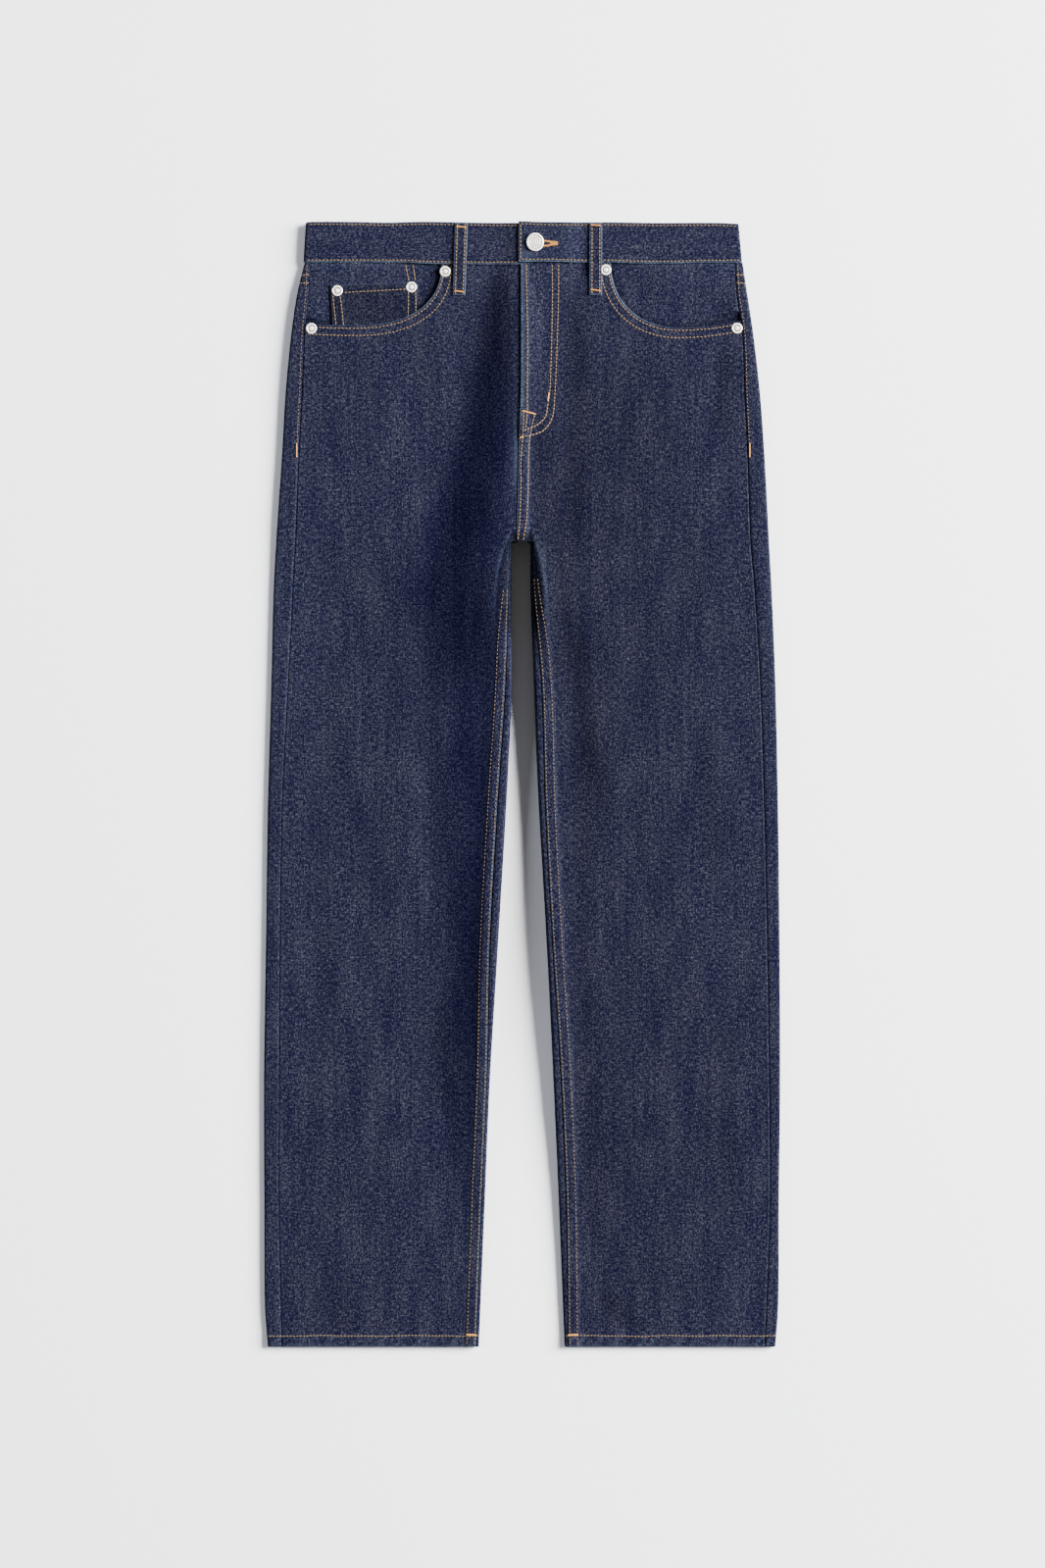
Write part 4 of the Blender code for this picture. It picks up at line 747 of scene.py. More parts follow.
def backTop(sign, x, down):
    # Height of the back panel's strips that lie on the front, with the seams' puckers
    seam = along(sideOf(sign), 2, down) - sign * x
    inseam = along(insideOf(sign), 2, down) - sign * x
    pucker = 0.10 * ripple(down, 8.7, 2.2 + sign) * (1 - smoothStep(2.0, 9.0, np.abs(seam)))
    pucker = pucker + 0.08 * ripple(down, 7.3, 0.4 + sign) * (1 - smoothStep(1.0, 7.0, np.abs(inseam)))
    return frontHeight(x, down) + pucker


def rowDown(sideDown, insideDown, share):
    # Down at a share of each row's way from the side to the inside
    return sideDown[:, None] + (insideDown - sideDown)[:, None] * share


def turnPoints(place, down, outward, onward, angle, low, high, wall):
    # Both faces of cloth turned over an edge: reach = (depth - inset) cos(angle) - depth, z on a half oval
    faces = []
    for inset in (0.0, wall):
        reach = (body["foldDepth"] - inset) * np.cos(angle) - body["foldDepth"]
        z = (low + high) / 2 + ((high - low) / 2 - inset) * np.sin(angle)
        face = np.broadcast_arrays(place + outward * reach, down + onward * reach, z)
        faces.append(np.stack(face, axis=-1))
    return faces


def sideColumns(sign, sideDown, insideDown):
    # The strip on the front from the side seam out, then the turn round the outline
    v = backValues
    table = sideOf(sign)
    share = np.linspace(0, 1, 7)
    down = rowDown(sideDown, insideDown, v["stripEnd"] * share)
    seam = along(table, 2, down)
    out = seam + (along(table, 1, down) - body["foldDepth"] - seam) * share
    top = backTop(sign, sign * out, down)
    strip = twoFaces(sign * out, down, top, top - wallAt(down))
    share = np.linspace(0, 1, 13)[1:]
    down = rowDown(sideDown, insideDown, v["stripEnd"] + (v["turnEnd"] - v["stripEnd"]) * share)
    outline = along(table, 1, down)
    high = backTop(sign, sign * (outline - body["foldDepth"]), down)
    low = underHeight(sign * outline, down)
    angle = np.radians(90 - 180 * share)
    turn = turnPoints(sign * outline, down, sign, 0, angle, low, high, wallAt(down))
    return [np.concatenate([strip[side], turn[side]], axis=1) for side in (0, 1)]


def flatPoints(sign, out, down):
    # Lower face on the underside's height, the other face one wall over it
    low = underHeight(sign * out, down)
    return twoFaces(sign * out, down, low, low + wallAt(down))


def backRows(sign, sideDown, insideDown, kind, wrap=None):
    # Rows round the leg: side strip, turn, flat underside, then the middle, the crotch's or the inner turn
    v = backValues
    side = sideColumns(sign, sideDown, insideDown)
    turned = rowDown(sideDown, insideDown, np.array([v["turnEnd"]]))
    start = along(sideOf(sign), 1, turned) - body["foldDepth"]
    inline = along(insideOf(sign), 1, np.maximum(insideDown, body["legStart"]))[:, None]
    inner = inline + body["foldDepth"]
    share = np.linspace(0, 1, 36)[1:-1]
    reached = np.minimum(v["turnEnd"] + (1 - v["turnEnd"]) * share, v["flatEnd"])
    flat = flatPoints(sign, start + (inner - start) * share, rowDown(sideDown, insideDown, reached))
    if kind == "seat":
        share = np.linspace(0, 1, 17)
        down = rowDown(sideDown, insideDown, v["flatEnd"] + (1 - v["flatEnd"]) * share)
        last = flatPoints(sign, inner + (v["middle"] - inner) * share, down)
    elif kind == "crotch":
        share = np.linspace(0, 1, 17)
        angle = np.radians(-90 + (wrap[:, None] + 90) * share)
        turn = np.radians(90 * smoothStep(0.0, 0.5, share))
        low = underHeight(sign * inner, insideDown[:, None])
        high = frontHeight(np.array(v["middle"] * sign), np.array(body["seatEnd"])) - 1.7
        place = sign * (inline + (v["middle"] - inline) * share)
        edgeDown = body["legStart"] - 2.0 * share
        last = turnPoints(place, edgeDown, -sign * np.cos(turn), np.sin(turn), angle, low, high, body["wall"])
    else:
        down = insideDown[:, None]
        angle = np.radians(np.linspace(-90, 90, 13))
        low = underHeight(sign * inner, down)
        high = backTop(sign, sign * inner, down)
        last = turnPoints(sign * inline, down, -sign, 0, angle, low, high, wallAt(down))
        end = np.maximum(along(insideOf(sign), 2, down), inner + 0.1)
        out = inner + (end - inner) * np.linspace(0, 1, 5)[1:]
        top = backTop(sign, sign * out, down)
        strip = twoFaces(sign * out, down, top, top - wallAt(down))
        last = [np.concatenate([last[face], strip[face]], axis=1) for face in (0, 1)]
    return [np.concatenate([side[face], flat[face], last[face]], axis=1) for face in (0, 1)]


def arc(grid, axis):
    # Length along the rows or columns of a grid, from its first line
    steps = np.linalg.norm(np.diff(grid, axis=axis), axis=-1)
    first = np.zeros_like(np.take(steps, [0], axis=axis))
    return np.concatenate([first, np.cumsum(steps, axis=axis)], axis=axis)


def edgeDistance(grid):
    # Smallest of the four lengths to a grid's border
    across = arc(grid, 1)
    onward = arc(grid, 0)
    return np.minimum(np.minimum(across, across[:, -1:] - across), np.minimum(onward, onward[-1:] - onward))


def closeRows(first, last, count, edge):
    # Even steps, with a few short ones at both ends so that a rounded edge has rows of its own
    near = np.array([0, 0.12, 0.35, 0.7, 1.2])
    middle = np.linspace(first + edge * 2, last - edge * 2, count)
    return np.concatenate([first + near * edge, middle, last - near[::-1] * edge])


def addBack(sign, hand):
    # Seat rows, crotch rows and leg rows joined into one grid
    v = backValues
    start = sideStart(sign)
    top = v["yokeSide"] + body["gap"]
    middleTop = v["yokeMiddle"] + body["gap"]
    first = top + np.array([0, 0.2, 0.5, 1.0])
    under = np.linspace(start + 3, body["seatEnd"], 76)
    seatSide = np.concatenate([first, np.linspace(58.5, start, 16), under])
    share = (seatSide - top) / (body["seatEnd"] - top)
    grids = [backRows(sign, seatSide, middleTop + (v["riseEnd"] - middleTop) * share, "seat")]
    crotch = np.linspace(body["seatEnd"], v["crotchEnd"], 8)
    grids.append(backRows(sign, crotch, crotch, "crotch", np.linspace(-78, 30, 8)))
    legDown = np.concatenate([np.linspace(v["crotchEnd"] + 0.4, body["legEnd"], v["legRows"]), hemRows])
    grids.append(backRows(sign, legDown, legDown, "leg"))
    outer, inner = (np.concatenate([grid[face] for grid in grids], axis=0) for face in (0, 1))
    distance = edgeDistance(outer)
    outer, inner = roundEdges(outer, inner, distance, wallAt(outer[..., 1]) / 2)
    return finishBack(f"back_panel_{hand}", outer, inner, distance)


def finishBack(node, outer, inner, distance):
    # Worn edges at the seams and on the turned edges, a map of lengths along the rows, and the shell itself
    down = outer[..., 1]
    hem = 0.10 * smoothStep(0.2, 1.0, hemRoping(outer[..., 0], down)) * hemShare(down)
    outline = np.where(down > 312, 0.03, 0.015) * bell(arc(outer, 1) - 16.0, 5.0)
    seam = np.where(down > 225, 0.16, 0.04) * (0.6 + 0.4 * ripple(down, 4.1, 1.2))
    wear = np.clip(seam * bell(distance, 0.9) + hem + outline, 0, 1)
    maps = np.stack([arc(outer, 1) + 20.0, 1100.0 - down], axis=-1)
    # The tone carries painted shade and light where the back shows
    values = {"wear": wear, "toneAndPaintedShade": toneAndPaintedShadeAt(outer[..., 0], down)}
    return addShell(node, outer, inner, maps, values, denim)


def addYoke(sign, hand):
    # Rows from the waistband down to the slanting yoke seam
    v = backValues
    side = closeRows(clothTop, v["yokeSide"], 9, 0.6)
    middle = closeRows(clothTop, v["yokeMiddle"], 9, 0.6)
    outer, inner = backRows(sign, side, middle, "seat")
    distance = edgeDistance(outer)
    outer, inner = roundEdges(outer, inner, distance, body["wall"] / 2)
    return finishBack(f"back_yoke_{hand}", outer, inner, distance)


for sign, hand in ((-1, "right"), (1, "left")):
    addBack(sign, hand)
    addYoke(sign, hand)
print("back panels and yokes made")

# Waistband: a double strip whose left end laps over its right one; its cut is in metres
bandValues = {
    "top": 7.4, "low": body["bandLow"] + body["lift"], "wall": 2.5, "lap": 2.1, "lapWall": 1.8,
    "lapStart": -3.6, "underStart": 37.0, "leftEdge": 213.4, "rightEdge": 211.9, "puff": 0.22, "wear": 1.0,
    "cut": (0.872, 0.039, 0.034),
}
# The band's wavy top edge: x and down on the lapped left half and on the right half
lapEdge = np.array([
    (-3.6, -0.6), (6.0, -0.4), (18.0, 0.1), (47.0, 0.4), (78.0, 0.2), (102.0, 0.4), (131.0, 0.9),
    (151.0, 0.85), (172.0, 0.65), (193.0, 0.85), (204.0, 1.3), (213.0, 1.6),
])
underEdge = np.array([
    (-211.0, 0.1), (-204.0, -0.35), (-162.0, -0.2), (-131.0, 0.5), (-95.0, -0.35), (-58.0, 0.3),
    (-26.0, 0.8), (37.0, 0.8),
])


def bandTurn(sign, edge, angles):
    # Half circle round the band's side: outer and inner x and z
    low = bandValues["low"]
    half = (bandValues["top"] - low) / 2
    middle = (bandValues["top"] + low) / 2
    x = sign * (edge - half + half * np.cos(angles))
    innerX = sign * (edge - half + (half - bandValues["wall"]) * np.cos(angles))
    return [x, middle + half * np.sin(angles), innerX, middle + (half - bandValues["wall"]) * np.sin(angles)]


def bandHeight(x, lapped):
    # Height of the band's front face, over the other end where it laps
    rise = bandValues["lap"] * (1 - smoothStep(40, 62, x)) if lapped else 0.0
    return bandValues["top"] + rise + 0.15 * ripple(x, 61.0, 0.9)


def addWaistband():
    # Stations round the band times rows across it, with a slight puff between its two rows of stitches
    v = bandValues
    half = (v["top"] - v["low"]) / 2
    lapX = closeRows(v["lapStart"], v["leftEdge"] - half, 84, 0.8)
    underX = closeRows(half - v["rightEdge"], v["underStart"], 84, 0.8)
    turn = np.radians(np.linspace(90, -90, 15))[1:-1]
    lapWall = v["lapWall"] + (v["wall"] - v["lapWall"]) * smoothStep(40, 62, lapX)
    backX = np.linspace(v["leftEdge"] - half, half - v["rightEdge"], 110)
    backZ = np.full(backX.shape, v["low"])
    pieces = [
        [lapX, bandHeight(lapX, True), lapX, bandHeight(lapX, True) - lapWall],
        bandTurn(1, v["leftEdge"], turn), [backX, backZ, backX, backZ + v["wall"]],
        bandTurn(-1, v["rightEdge"], turn[::-1]),
        [underX, bandHeight(underX, False), underX, bandHeight(underX, False) - v["wall"]],
    ]
    x, z, innerX, innerZ = (np.concatenate([piece[i] for piece in pieces]) for i in range(4))
    isLap = np.arange(len(x)) < len(lapX)
    isUnder = np.arange(len(x)) >= len(x) - len(underX)
    onLeft = isLap | (x > 0) & ~isUnder
    toBack = smoothStep(0.0, 60.0, np.maximum(213.0 - np.abs(x), 0.0)) * ~(isLap | isUnder)
    topDown = np.where(onLeft, along(lapEdge, 1, x), along(underEdge, 1, x))
    topDown = topDown + (0.6 - topDown) * toBack
    lowDown = np.where(onLeft, along(lapLow, 1, x), along(underLow, 1, x))
    lowDown = lowDown + (body["bandDepth"] - lowDown) * toBack
    share = closeRows(0.0, body["bandDepth"], 15, 0.9)[:, None] / body["bandDepth"]
    down = topDown + (lowDown - topDown) * share
    lean = (3.5 * smoothStep(190, 205, x) - 2.2 * smoothStep(190, 205, -x)) * (1 - share)
    puff = v["puff"] * np.sin(math.pi * np.clip((share - 0.08) / 0.84, 0, 1)) ** 0.7
    pucker = 0.09 * ripple(x, 5.9, 0.3) * bell(down - lowDown + 2.4, 2.4)
    pucker = pucker + 0.07 * ripple(x, 6.3, 1.7) * bell(down - topDown - 2.4, 2.2)
    outer = np.stack([x - lean, down, z + np.sign(z - innerZ) * (puff + pucker - 0.1)], axis=-1)
    inner = np.stack([innerX - lean, down, np.broadcast_to(innerZ, down.shape)], axis=-1)
    outer, inner = roundEdges(outer, inner, edgeDistance(outer), v["wall"] * 0.45)
    length = arc(outer, 1)
    speckled = 0.75 + 0.25 * ripple(x, 2.3, 0.8)
    wear = 0.95 * speckled * bell(lowDown - 0.3 - down, 0.8) + 0.22 * bell(down - topDown, 0.9)
    wear = wear + 0.75 * bell(length, 1.2)
    corner = bell(x - 4.0, 9.0) * isLap * bell(down - 33.0, 7.0)
    lapped = isLap * (1 - smoothStep(52.0, 66.0, x))
    wear = v["wear"] * np.clip(wear + 0.14 * corner + 0.018 * lapped, 0, 1)
    maps = np.stack([down + 620.0, length + 30.0], axis=-1)
    # Tone 1.04 with a band of painted shade on the under end beside the lapped end's edge
    toneAndPaintedShade = np.broadcast_to(1.04 - 0.25 * bell(x + 14.0, 9.0) * (~isLap), down.shape)
    return addShell("waistband", outer, inner, maps, {"wear": wear, "toneAndPaintedShade": toneAndPaintedShade}, denim)


addWaistband()
print("waistband made")

# Pocket facings: how far they run on under the fronts, wall, wear, and the cut in metres
facingValues = {"under": 11.0, "wall": 1.0, "wear": 0.10, "cut": (0.146, 0.074, 0.009)}


def facingHeight(sign, x, down):
    # The front's height less the facing's depth below it
    return frontHeight(x, down) - sinking(sign, sign * x, down)


def addFacing(sign, hand):
    # Level rows from the side seam in to 11 mm under the front panel
    v = facingValues
    inside, down = openingPoint(sign, np.linspace(0, 1, 46), v["under"])
    down = np.maximum(down, clothTop)
    side = along(sideOf(sign), 2, down) - body["gap"]
    share = closeRows(0.0, 100.0, 44, 0.8) / 100.0
    out = side[:, None] + (inside - side)[:, None] * share
    down = np.broadcast_to(down[:, None], out.shape)
    x = sign * out
    top = facingHeight(sign, x, down) + 0.12 * ripple(out + 0.4 * down, 33.0, 1.1 + sign)
    outer, inner, distance = roundedFaces(x, down, top, top - v["wall"], v["wall"] / 2)
    outer[..., 1] += bandDroop(sign, x, down)
    inner[..., 1] += bandDroop(sign, x, down)
    # Painted shade along the opening's curve, under the front's edge
    toneAndPaintedShade = 1 - 0.35 * bell(openingReach(sign, out, down) - 1.0, 0.075)
    maps = np.stack([out + 300.0, 1100.0 - down], axis=-1)
    values = {"wear": v["wear"] * bell(distance, 0.8), "toneAndPaintedShade": toneAndPaintedShade}
    return addShell(f"pocket_facing_{hand}", outer, inner, maps, values, denim)


addFacing(-1, "right")
addFacing(1, "left")

# Coin pocket: top corners, how far it narrows, its reach under the front, how much its hemmed edges add
coinValues = {
    "outerX": -186.0, "innerX": -100.6, "outerDown": 61.2, "innerDown": 57.6, "width": 84.0, "depth": 45.0,
    "taper": 2.4, "under": 7.0, "wall": 1.0, "hem": 0.3, "wear": 0.20, "toneAndPaintedShade": 0.72,
    "cut": (0.0855, 0.05, 0.0039),
}


def coinHeight(x, down):
    # Just over the facing
    return facingHeight(-1, x, down) + body["gap"] + coinValues["wall"]


def addCoinPocket():
    # Columns from the slanting top edge to a curve 7 mm outside the opening
    v = coinValues
    centre, halfWidth, drop, roundness, rise = openings[-1]
    across = (closeRows(0.0, v["width"], 46, 0.8) / v["width"])[None, :]
    depth = (closeRows(0.0, v["depth"], 26, 0.8) / v["depth"])[:, None]
    x = v["outerX"] + (v["innerX"] - v["outerX"]) * across + v["taper"] * depth * (1 - 2 * across)
    topDown = v["outerDown"] + (v["innerDown"] - v["outerDown"]) * across
    reach = np.maximum(centre + x, 0.0) / (halfWidth + v["under"])
    bottom = body["bandDepth"] + (drop + v["under"]) * (1 - reach**roundness) ** (1 / roundness)
    down = topDown + (bottom - topDown) * depth
    fromTop = down - topDown
    fromSide = np.minimum(across, 1 - across) * v["width"]
    fold = np.maximum(1 - smoothStep(9.0, 10.5, fromTop), 1 - smoothStep(10.5, 12.0, fromSide))
    pucker = 0.07 * ripple(down, 6.0, 0.7) * bell(fromSide - 6.0, 3.5)
    top = coinHeight(x, down) + fold * v["hem"] + pucker + 0.06 * ripple(x, 9.0, 2.0) * (fromTop < 12)
    outer, inner, distance = roundedFaces(x, down, top, top - v["wall"] - v["hem"] * fold, 0.55)
    wear = v["wear"] * np.clip(bell(distance, 1.2) + 0.5 * bell(fromSide - 11.0, 1.2), 0, 1)
    maps = np.stack([x + 480.0, 900.0 - down], axis=-1)
    values = {"wear": wear, "toneAndPaintedShade": np.full(x.shape, v["toneAndPaintedShade"])}
    return addShell("coin_pocket", outer, inner, maps, values, denim)


addCoinPocket()
print("pocket facings and coin pocket made")

# Belt loops: sizes, how far the front ones stand off the band, and the cut in metres
loopValues = {
    "top": 1.0, "width": 12.4, "length": 70.2, "wall": 1.05, "backWall": 1.1, "slack": 0.2, "wear": 0.62,
    "toneAndPaintedShade": 1.05, "cut": (0.0124, 0.0702, None),
}
# Middle x at the top and at the lower end
frontLoops = {"belt_loop_front_right": (-59.0, -61.2), "belt_loop_front_left": (71.3, 71.2)}
backLoops = {
    "belt_loop_back_right": (-143.0, -145.0), "belt_loop_back_centre": (0.0, 0.0),
    "belt_loop_back_left": (143.0, 145.0),
}


def loopBase(middle, share, down):
    # Height of a front loop's lower face: over the band, then down on to the front panel
    panel = frontHeight(middle, down) + body["gap"]
    onBand = 1 - smoothStep(0.55, 0.95, share)
    rest = np.maximum(panel, (bandValues["top"] + body["gap"]) * onBand + panel * (1 - onBand))
    slack = loopValues["slack"] * smoothStep(0.0, 0.3, share) * (1 - smoothStep(0.62, 1.0, share))
    return rest + 0.05 + slack


def loopMiddle(ends, down):
    # A loop's middle x at a distance down, on the straight line between its ends
    return ends[0] + (ends[1] - ends[0]) * (down - loopValues["top"]) / loopValues["length"]


def loopHeight(name, down):
    # Height of a front loop's outer face at a distance down
    v = loopValues
    share = (down - v["top"]) / v["length"]
    return loopBase(loopMiddle(frontLoops[name], down), share, down) + v["wall"] + 0.1


def addLoop(name, ends, front):
    # Rows down the loop, raised a little along its two folded edges
    v = loopValues
    share = (closeRows(0.0, v["length"], 40, 0.8) / v["length"])[:, None]
    near = np.array([0.84, 0.92, 0.97, 1])
    across = np.concatenate([-near[::-1], np.linspace(-0.7, 0.7, 9), near])[None, :]
    middle = ends[0] + (ends[1] - ends[0]) * share
    x = middle + across * v["width"] / 2
    down = np.broadcast_to(v["top"] + v["length"] * share, x.shape)
    wall = v["wall"] if front else v["backWall"]
    relief = 0.10 * bell(np.abs(across) - 0.78, 0.2) + 0.05 * ripple(down, 5.7, 1.0 + ends[0])
    base = loopBase(middle, share, down)
    top, low = (base + wall + relief, base) if front else (body["lift"] - 0.4 * relief, body["lift"] + wall)
    outer, inner, distance = roundedFaces(x, down, top, low, wall / 2)
    wear = v["wear"] * np.clip(bell(distance, 1.0) * (0.8 + 0.3 * ripple(down, 6.0, 0.2)), 0, 1)
    maps = np.stack([x - middle + 560.0 + ends[0], 500.0 - down], axis=-1)
    values = {"wear": wear, "toneAndPaintedShade": np.full(x.shape, v["toneAndPaintedShade"])}
    return addShell(name, outer, inner, maps, values, denim)


for name, ends in frontLoops.items():
    addLoop(name, ends, True)
for name, ends in backLoops.items():
    addLoop(name, ends, False)

# Back pockets: five-sided patches with a hemmed top edge; the cut is in metres
patchValues = {
    "inner": 42.0, "width": 152.0, "taper": 8.0, "topDown": 106.0, "side": 138.0, "point": 24.0, "wall": 1.2,
    "wear": 0.16, "cut": (0.152, 0.162, 0.0217),
}


def patchPoint(sign, across, share):
    # Plan of a back pocket: across -1 to 1 from its inner side, share 0 to 1 from its top edge
    v = patchValues
    out = v["inner"] + v["width"] / 2 + across * (v["width"] / 2 - v["taper"] * share)
    down = v["topDown"] + v["side"] * share + v["point"] * (1 - np.abs(across)) * share
    return sign * out, down


def addPatch(sign, hand):
    # Rows from the top edge to the point, thicker round the edges where the cloth is folded in
    v = patchValues
    half = v["width"] / 2
    share = (closeRows(0.0, v["side"], 44, 0.8) / v["side"])[:, None]
    across = (closeRows(-half, half, 52, 0.8) / half)[None, :]
    x, down = patchPoint(sign, across, share)
    outer, inner = twoFaces(x, down, body["lift"], body["lift"] + v["wall"])
    distance = edgeDistance(outer)
    relief = 0.10 * smoothStep(11.0, 13.0, distance) - 0.05 * ripple(down + x, 6.5, 0.4) * (distance < 10)
    outer[..., 2] += np.maximum(relief, -0.04)
    outer, inner = roundEdges(outer, inner, distance, 0.55)
    maps = np.stack([np.abs(x) + 300.0, 700.0 - down], axis=-1)
    values = {"wear": v["wear"] * bell(distance, 1.3), "toneAndPaintedShade": np.ones(x.shape)}
    return addShell(f"back_pocket_{hand}", outer, inner, maps, values, denim)


addPatch(-1, "right")
addPatch(1, "left")
print("belt loops and back pockets made")

# Metal: distance from the middle as a share of the radius, height over the cloth, how much painted shade the
# groove gets
rivetProfile = np.array([
    (0.0, -0.2, 0.6), (0.90, -0.2, 0.6), (1.0, 0.05, 0.3), (1.0, 0.35, 0.0), (0.96, 0.58, 0.0),
    (0.88, 0.72, 0.0), (0.79, 0.76, 0.0), (0.71, 0.66, 0.3), (0.65, 0.40, 0.8), (0.58, 0.26, 1.0),
    (0.50, 0.26, 1.0), (0.44, 0.42, 0.7), (0.39, 0.72, 0.2), (0.33, 0.92, 0.0), (0.22, 1.0, 0.0),
    (0.10, 1.02, 0.1), (0.0, 1.03, 0.1),
])
buttonProfile = np.array([
    (0.0, -0.4, 0.6), (0.80, -0.4, 0.6), (0.92, 0.0, 0.5), (1.0, 0.6, 0.2), (1.0, 1.0, 0.0),
    (0.97, 1.4, 0.0), (0.92, 1.68, 0.0), (0.86, 1.78, 0.0), (0.81, 1.72, 0.1), (0.77, 1.42, 0.7),
    (0.73, 1.26, 0.9), (0.68, 1.28, 0.6), (0.64, 1.44, 0.2), (0.60, 1.60, 0.0), (0.55, 1.64, 0.0),
    (0.51, 1.52, 0.3), (0.48, 1.32, 0.8), (0.43, 1.28, 0.8), (0.38, 1.46, 0.3), (0.33, 1.62, 0.0),
    (0.28, 1.66, 0.0), (0.24, 1.54, 0.4), (0.19, 1.42, 0.7), (0.12, 1.60, 0.2), (0.0, 1.72, 0.0),
])
# Rivets: x, down, and whether it sits on the coin pocket
rivets = {
    "rivet_right_side": (-204.2, 103.2, False), "rivet_right_waist": (-74.6, 47.9, False),
    "rivet_coin_outer": (-179.1, 66.7, True), "rivet_coin_inner": (-107.3, 63.0, True),
    "rivet_left_waist": (81.0, 46.4, False), "rivet_left_side": (208.2, 103.0, False),
}
rivetValues = {"radius": 5.1, "lift": 0.35, "sides": 40}
buttonValues = {"x": 12.6, "down": 19.8, "radius": 8.3, "lift": 0.5, "sides": 64, "tall": 1.06}


def addTurned(node, x, down, base, v, profile):
    # A profile turned round an upright axis: each ring is radius times share, at base plus height
    rings = profile[1:-1]
    sides = v["sides"]
    angle = 2 * math.pi * np.arange(sides) / sides
    px = x + v["radius"] * rings[:, :1] * np.cos(angle)
    pd = down + v["radius"] * v.get("tall", 1.0) * rings[:, :1] * np.sin(angle)
    points = np.stack(np.broadcast_arrays(px, pd, base + rings[:, 1:2]), axis=-1).reshape(-1, 3)
    # The profile's third column: painted shade in the grooves
    paintedGrooveShade = np.concatenate([np.repeat(rings[:, 2], sides), profile[[0, -1], 2]])
    poles = np.array([(x, down, base + profile[0, 1]), (x, down, base + profile[-1, 1])])
    index = np.arange(len(rings) * sides).reshape(len(rings), sides)
    after = np.roll(index, -1, axis=1)
    quads = [np.stack([index[:-1], index[1:], after[1:], after[:-1]], axis=-1).reshape(-1, 4)]
    for ring, pole, turn in ((index[0], len(points), 1), (index[-1], len(points) + 1, -1)):
        pole = np.full(sides // 2, pole)
        cap = np.stack([pole, ring[0::2], ring[1::2], np.roll(ring, -2)[0::2]], axis=-1)
        quads.append(cap[:, ::turn])
    vertices = np.concatenate([points, poles])
    item = addMesh(f"{node}_head", vertices, np.concatenate(quads), nickel, None, {"paintedGrooveShade": paintedGrooveShade})
    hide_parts(node)
    return item


for name, (x, down, onCoin) in rivets.items():
    base = (coinHeight if onCoin else frontHeight)(np.array(x), np.array(down)) + rivetValues["lift"]
    addTurned(name, x, down, float(base), rivetValues, rivetProfile)
base = bandValues["top"] + bandValues["lap"] + buttonValues["lift"]
addTurned("waist_button", buttonValues["x"], buttonValues["down"], base, buttonValues, buttonProfile)
print("rivets and button made")

# Stitches: pitch and length of one stitch, the thread's half width and flatness, a bartack's thread spacing
stitchValues = {"pitch": 3.6, "length": 2.95, "radius": 0.45, "height": 0.60, "sides": 6, "tack": 0.45}
tanDashes = []
orangeDashes = []
goldDashes = []


def addDashes(store, x, down, z, up=1, pitch=None, length=None, size=1.0):
    # Stitches along a line: each takes the same share of the line's length, with its ends sunk in the cloth
    v = stitchValues
    line = np.stack(np.broadcast_arrays(x, down, z), axis=-1).astype(float)
    reach = np.concatenate([[0.0], np.cumsum(np.linalg.norm(np.diff(line, axis=0), axis=1))])
    count = max(int(round(reach[-1] / (pitch or v["pitch"]))), 1)
    share = (length or v["length"]) / (pitch or v["pitch"])
    unit = reach[-1] / count
    start = unit * (np.arange(count)[:, None] + (1 - share) / 2)
    places = start + unit * share * np.array([0.0, 0.2, 0.8, 1.0])
    centres = np.stack([np.interp(places, reach, line[:, i]) for i in range(3)], axis=-1)
    centres[..., 2] += up * v["radius"] * np.array([-0.7, 0.25, 0.25, -0.7])
    store.append((centres, np.full(count, float(up)), np.full(count, size)))


def addTack(store, start, end, width, heightAt, up=1):
    # A bartack: short threads laid side by side across the line from start to end, leaning a little
    v = stitchValues
    start = np.array(start, dtype=float)
    end = np.array(end, dtype=float)
    onward = (end - start) / np.linalg.norm(end - start)
    across = np.array([-onward[1], onward[0]])
    count = max(int(np.linalg.norm(end - start) / v["tack"]), 2)
    middle = start + (end - start) * ((np.arange(count) + 0.5) / count)[:, None]
    lean = 0.25 * np.where(np.arange(count) % 2, 1, -1)[:, None] * onward
    width = width * (1 + 0.12 * np.sin(np.arange(count) * 2.4))[:, None]
    share = np.array([-0.5, -0.32, 0.32, 0.5])
    plan = middle[:, None] + (across * width + lean)[:, None] * share[:, None]
    z = heightAt(plan[..., 0], plan[..., 1]) + up * v["radius"] * np.array([-0.4, 0.9, 0.9, -0.4])
    store.append((np.concatenate([plan, z[..., None]], axis=-1), np.full(count, float(up)), np.ones(count)))


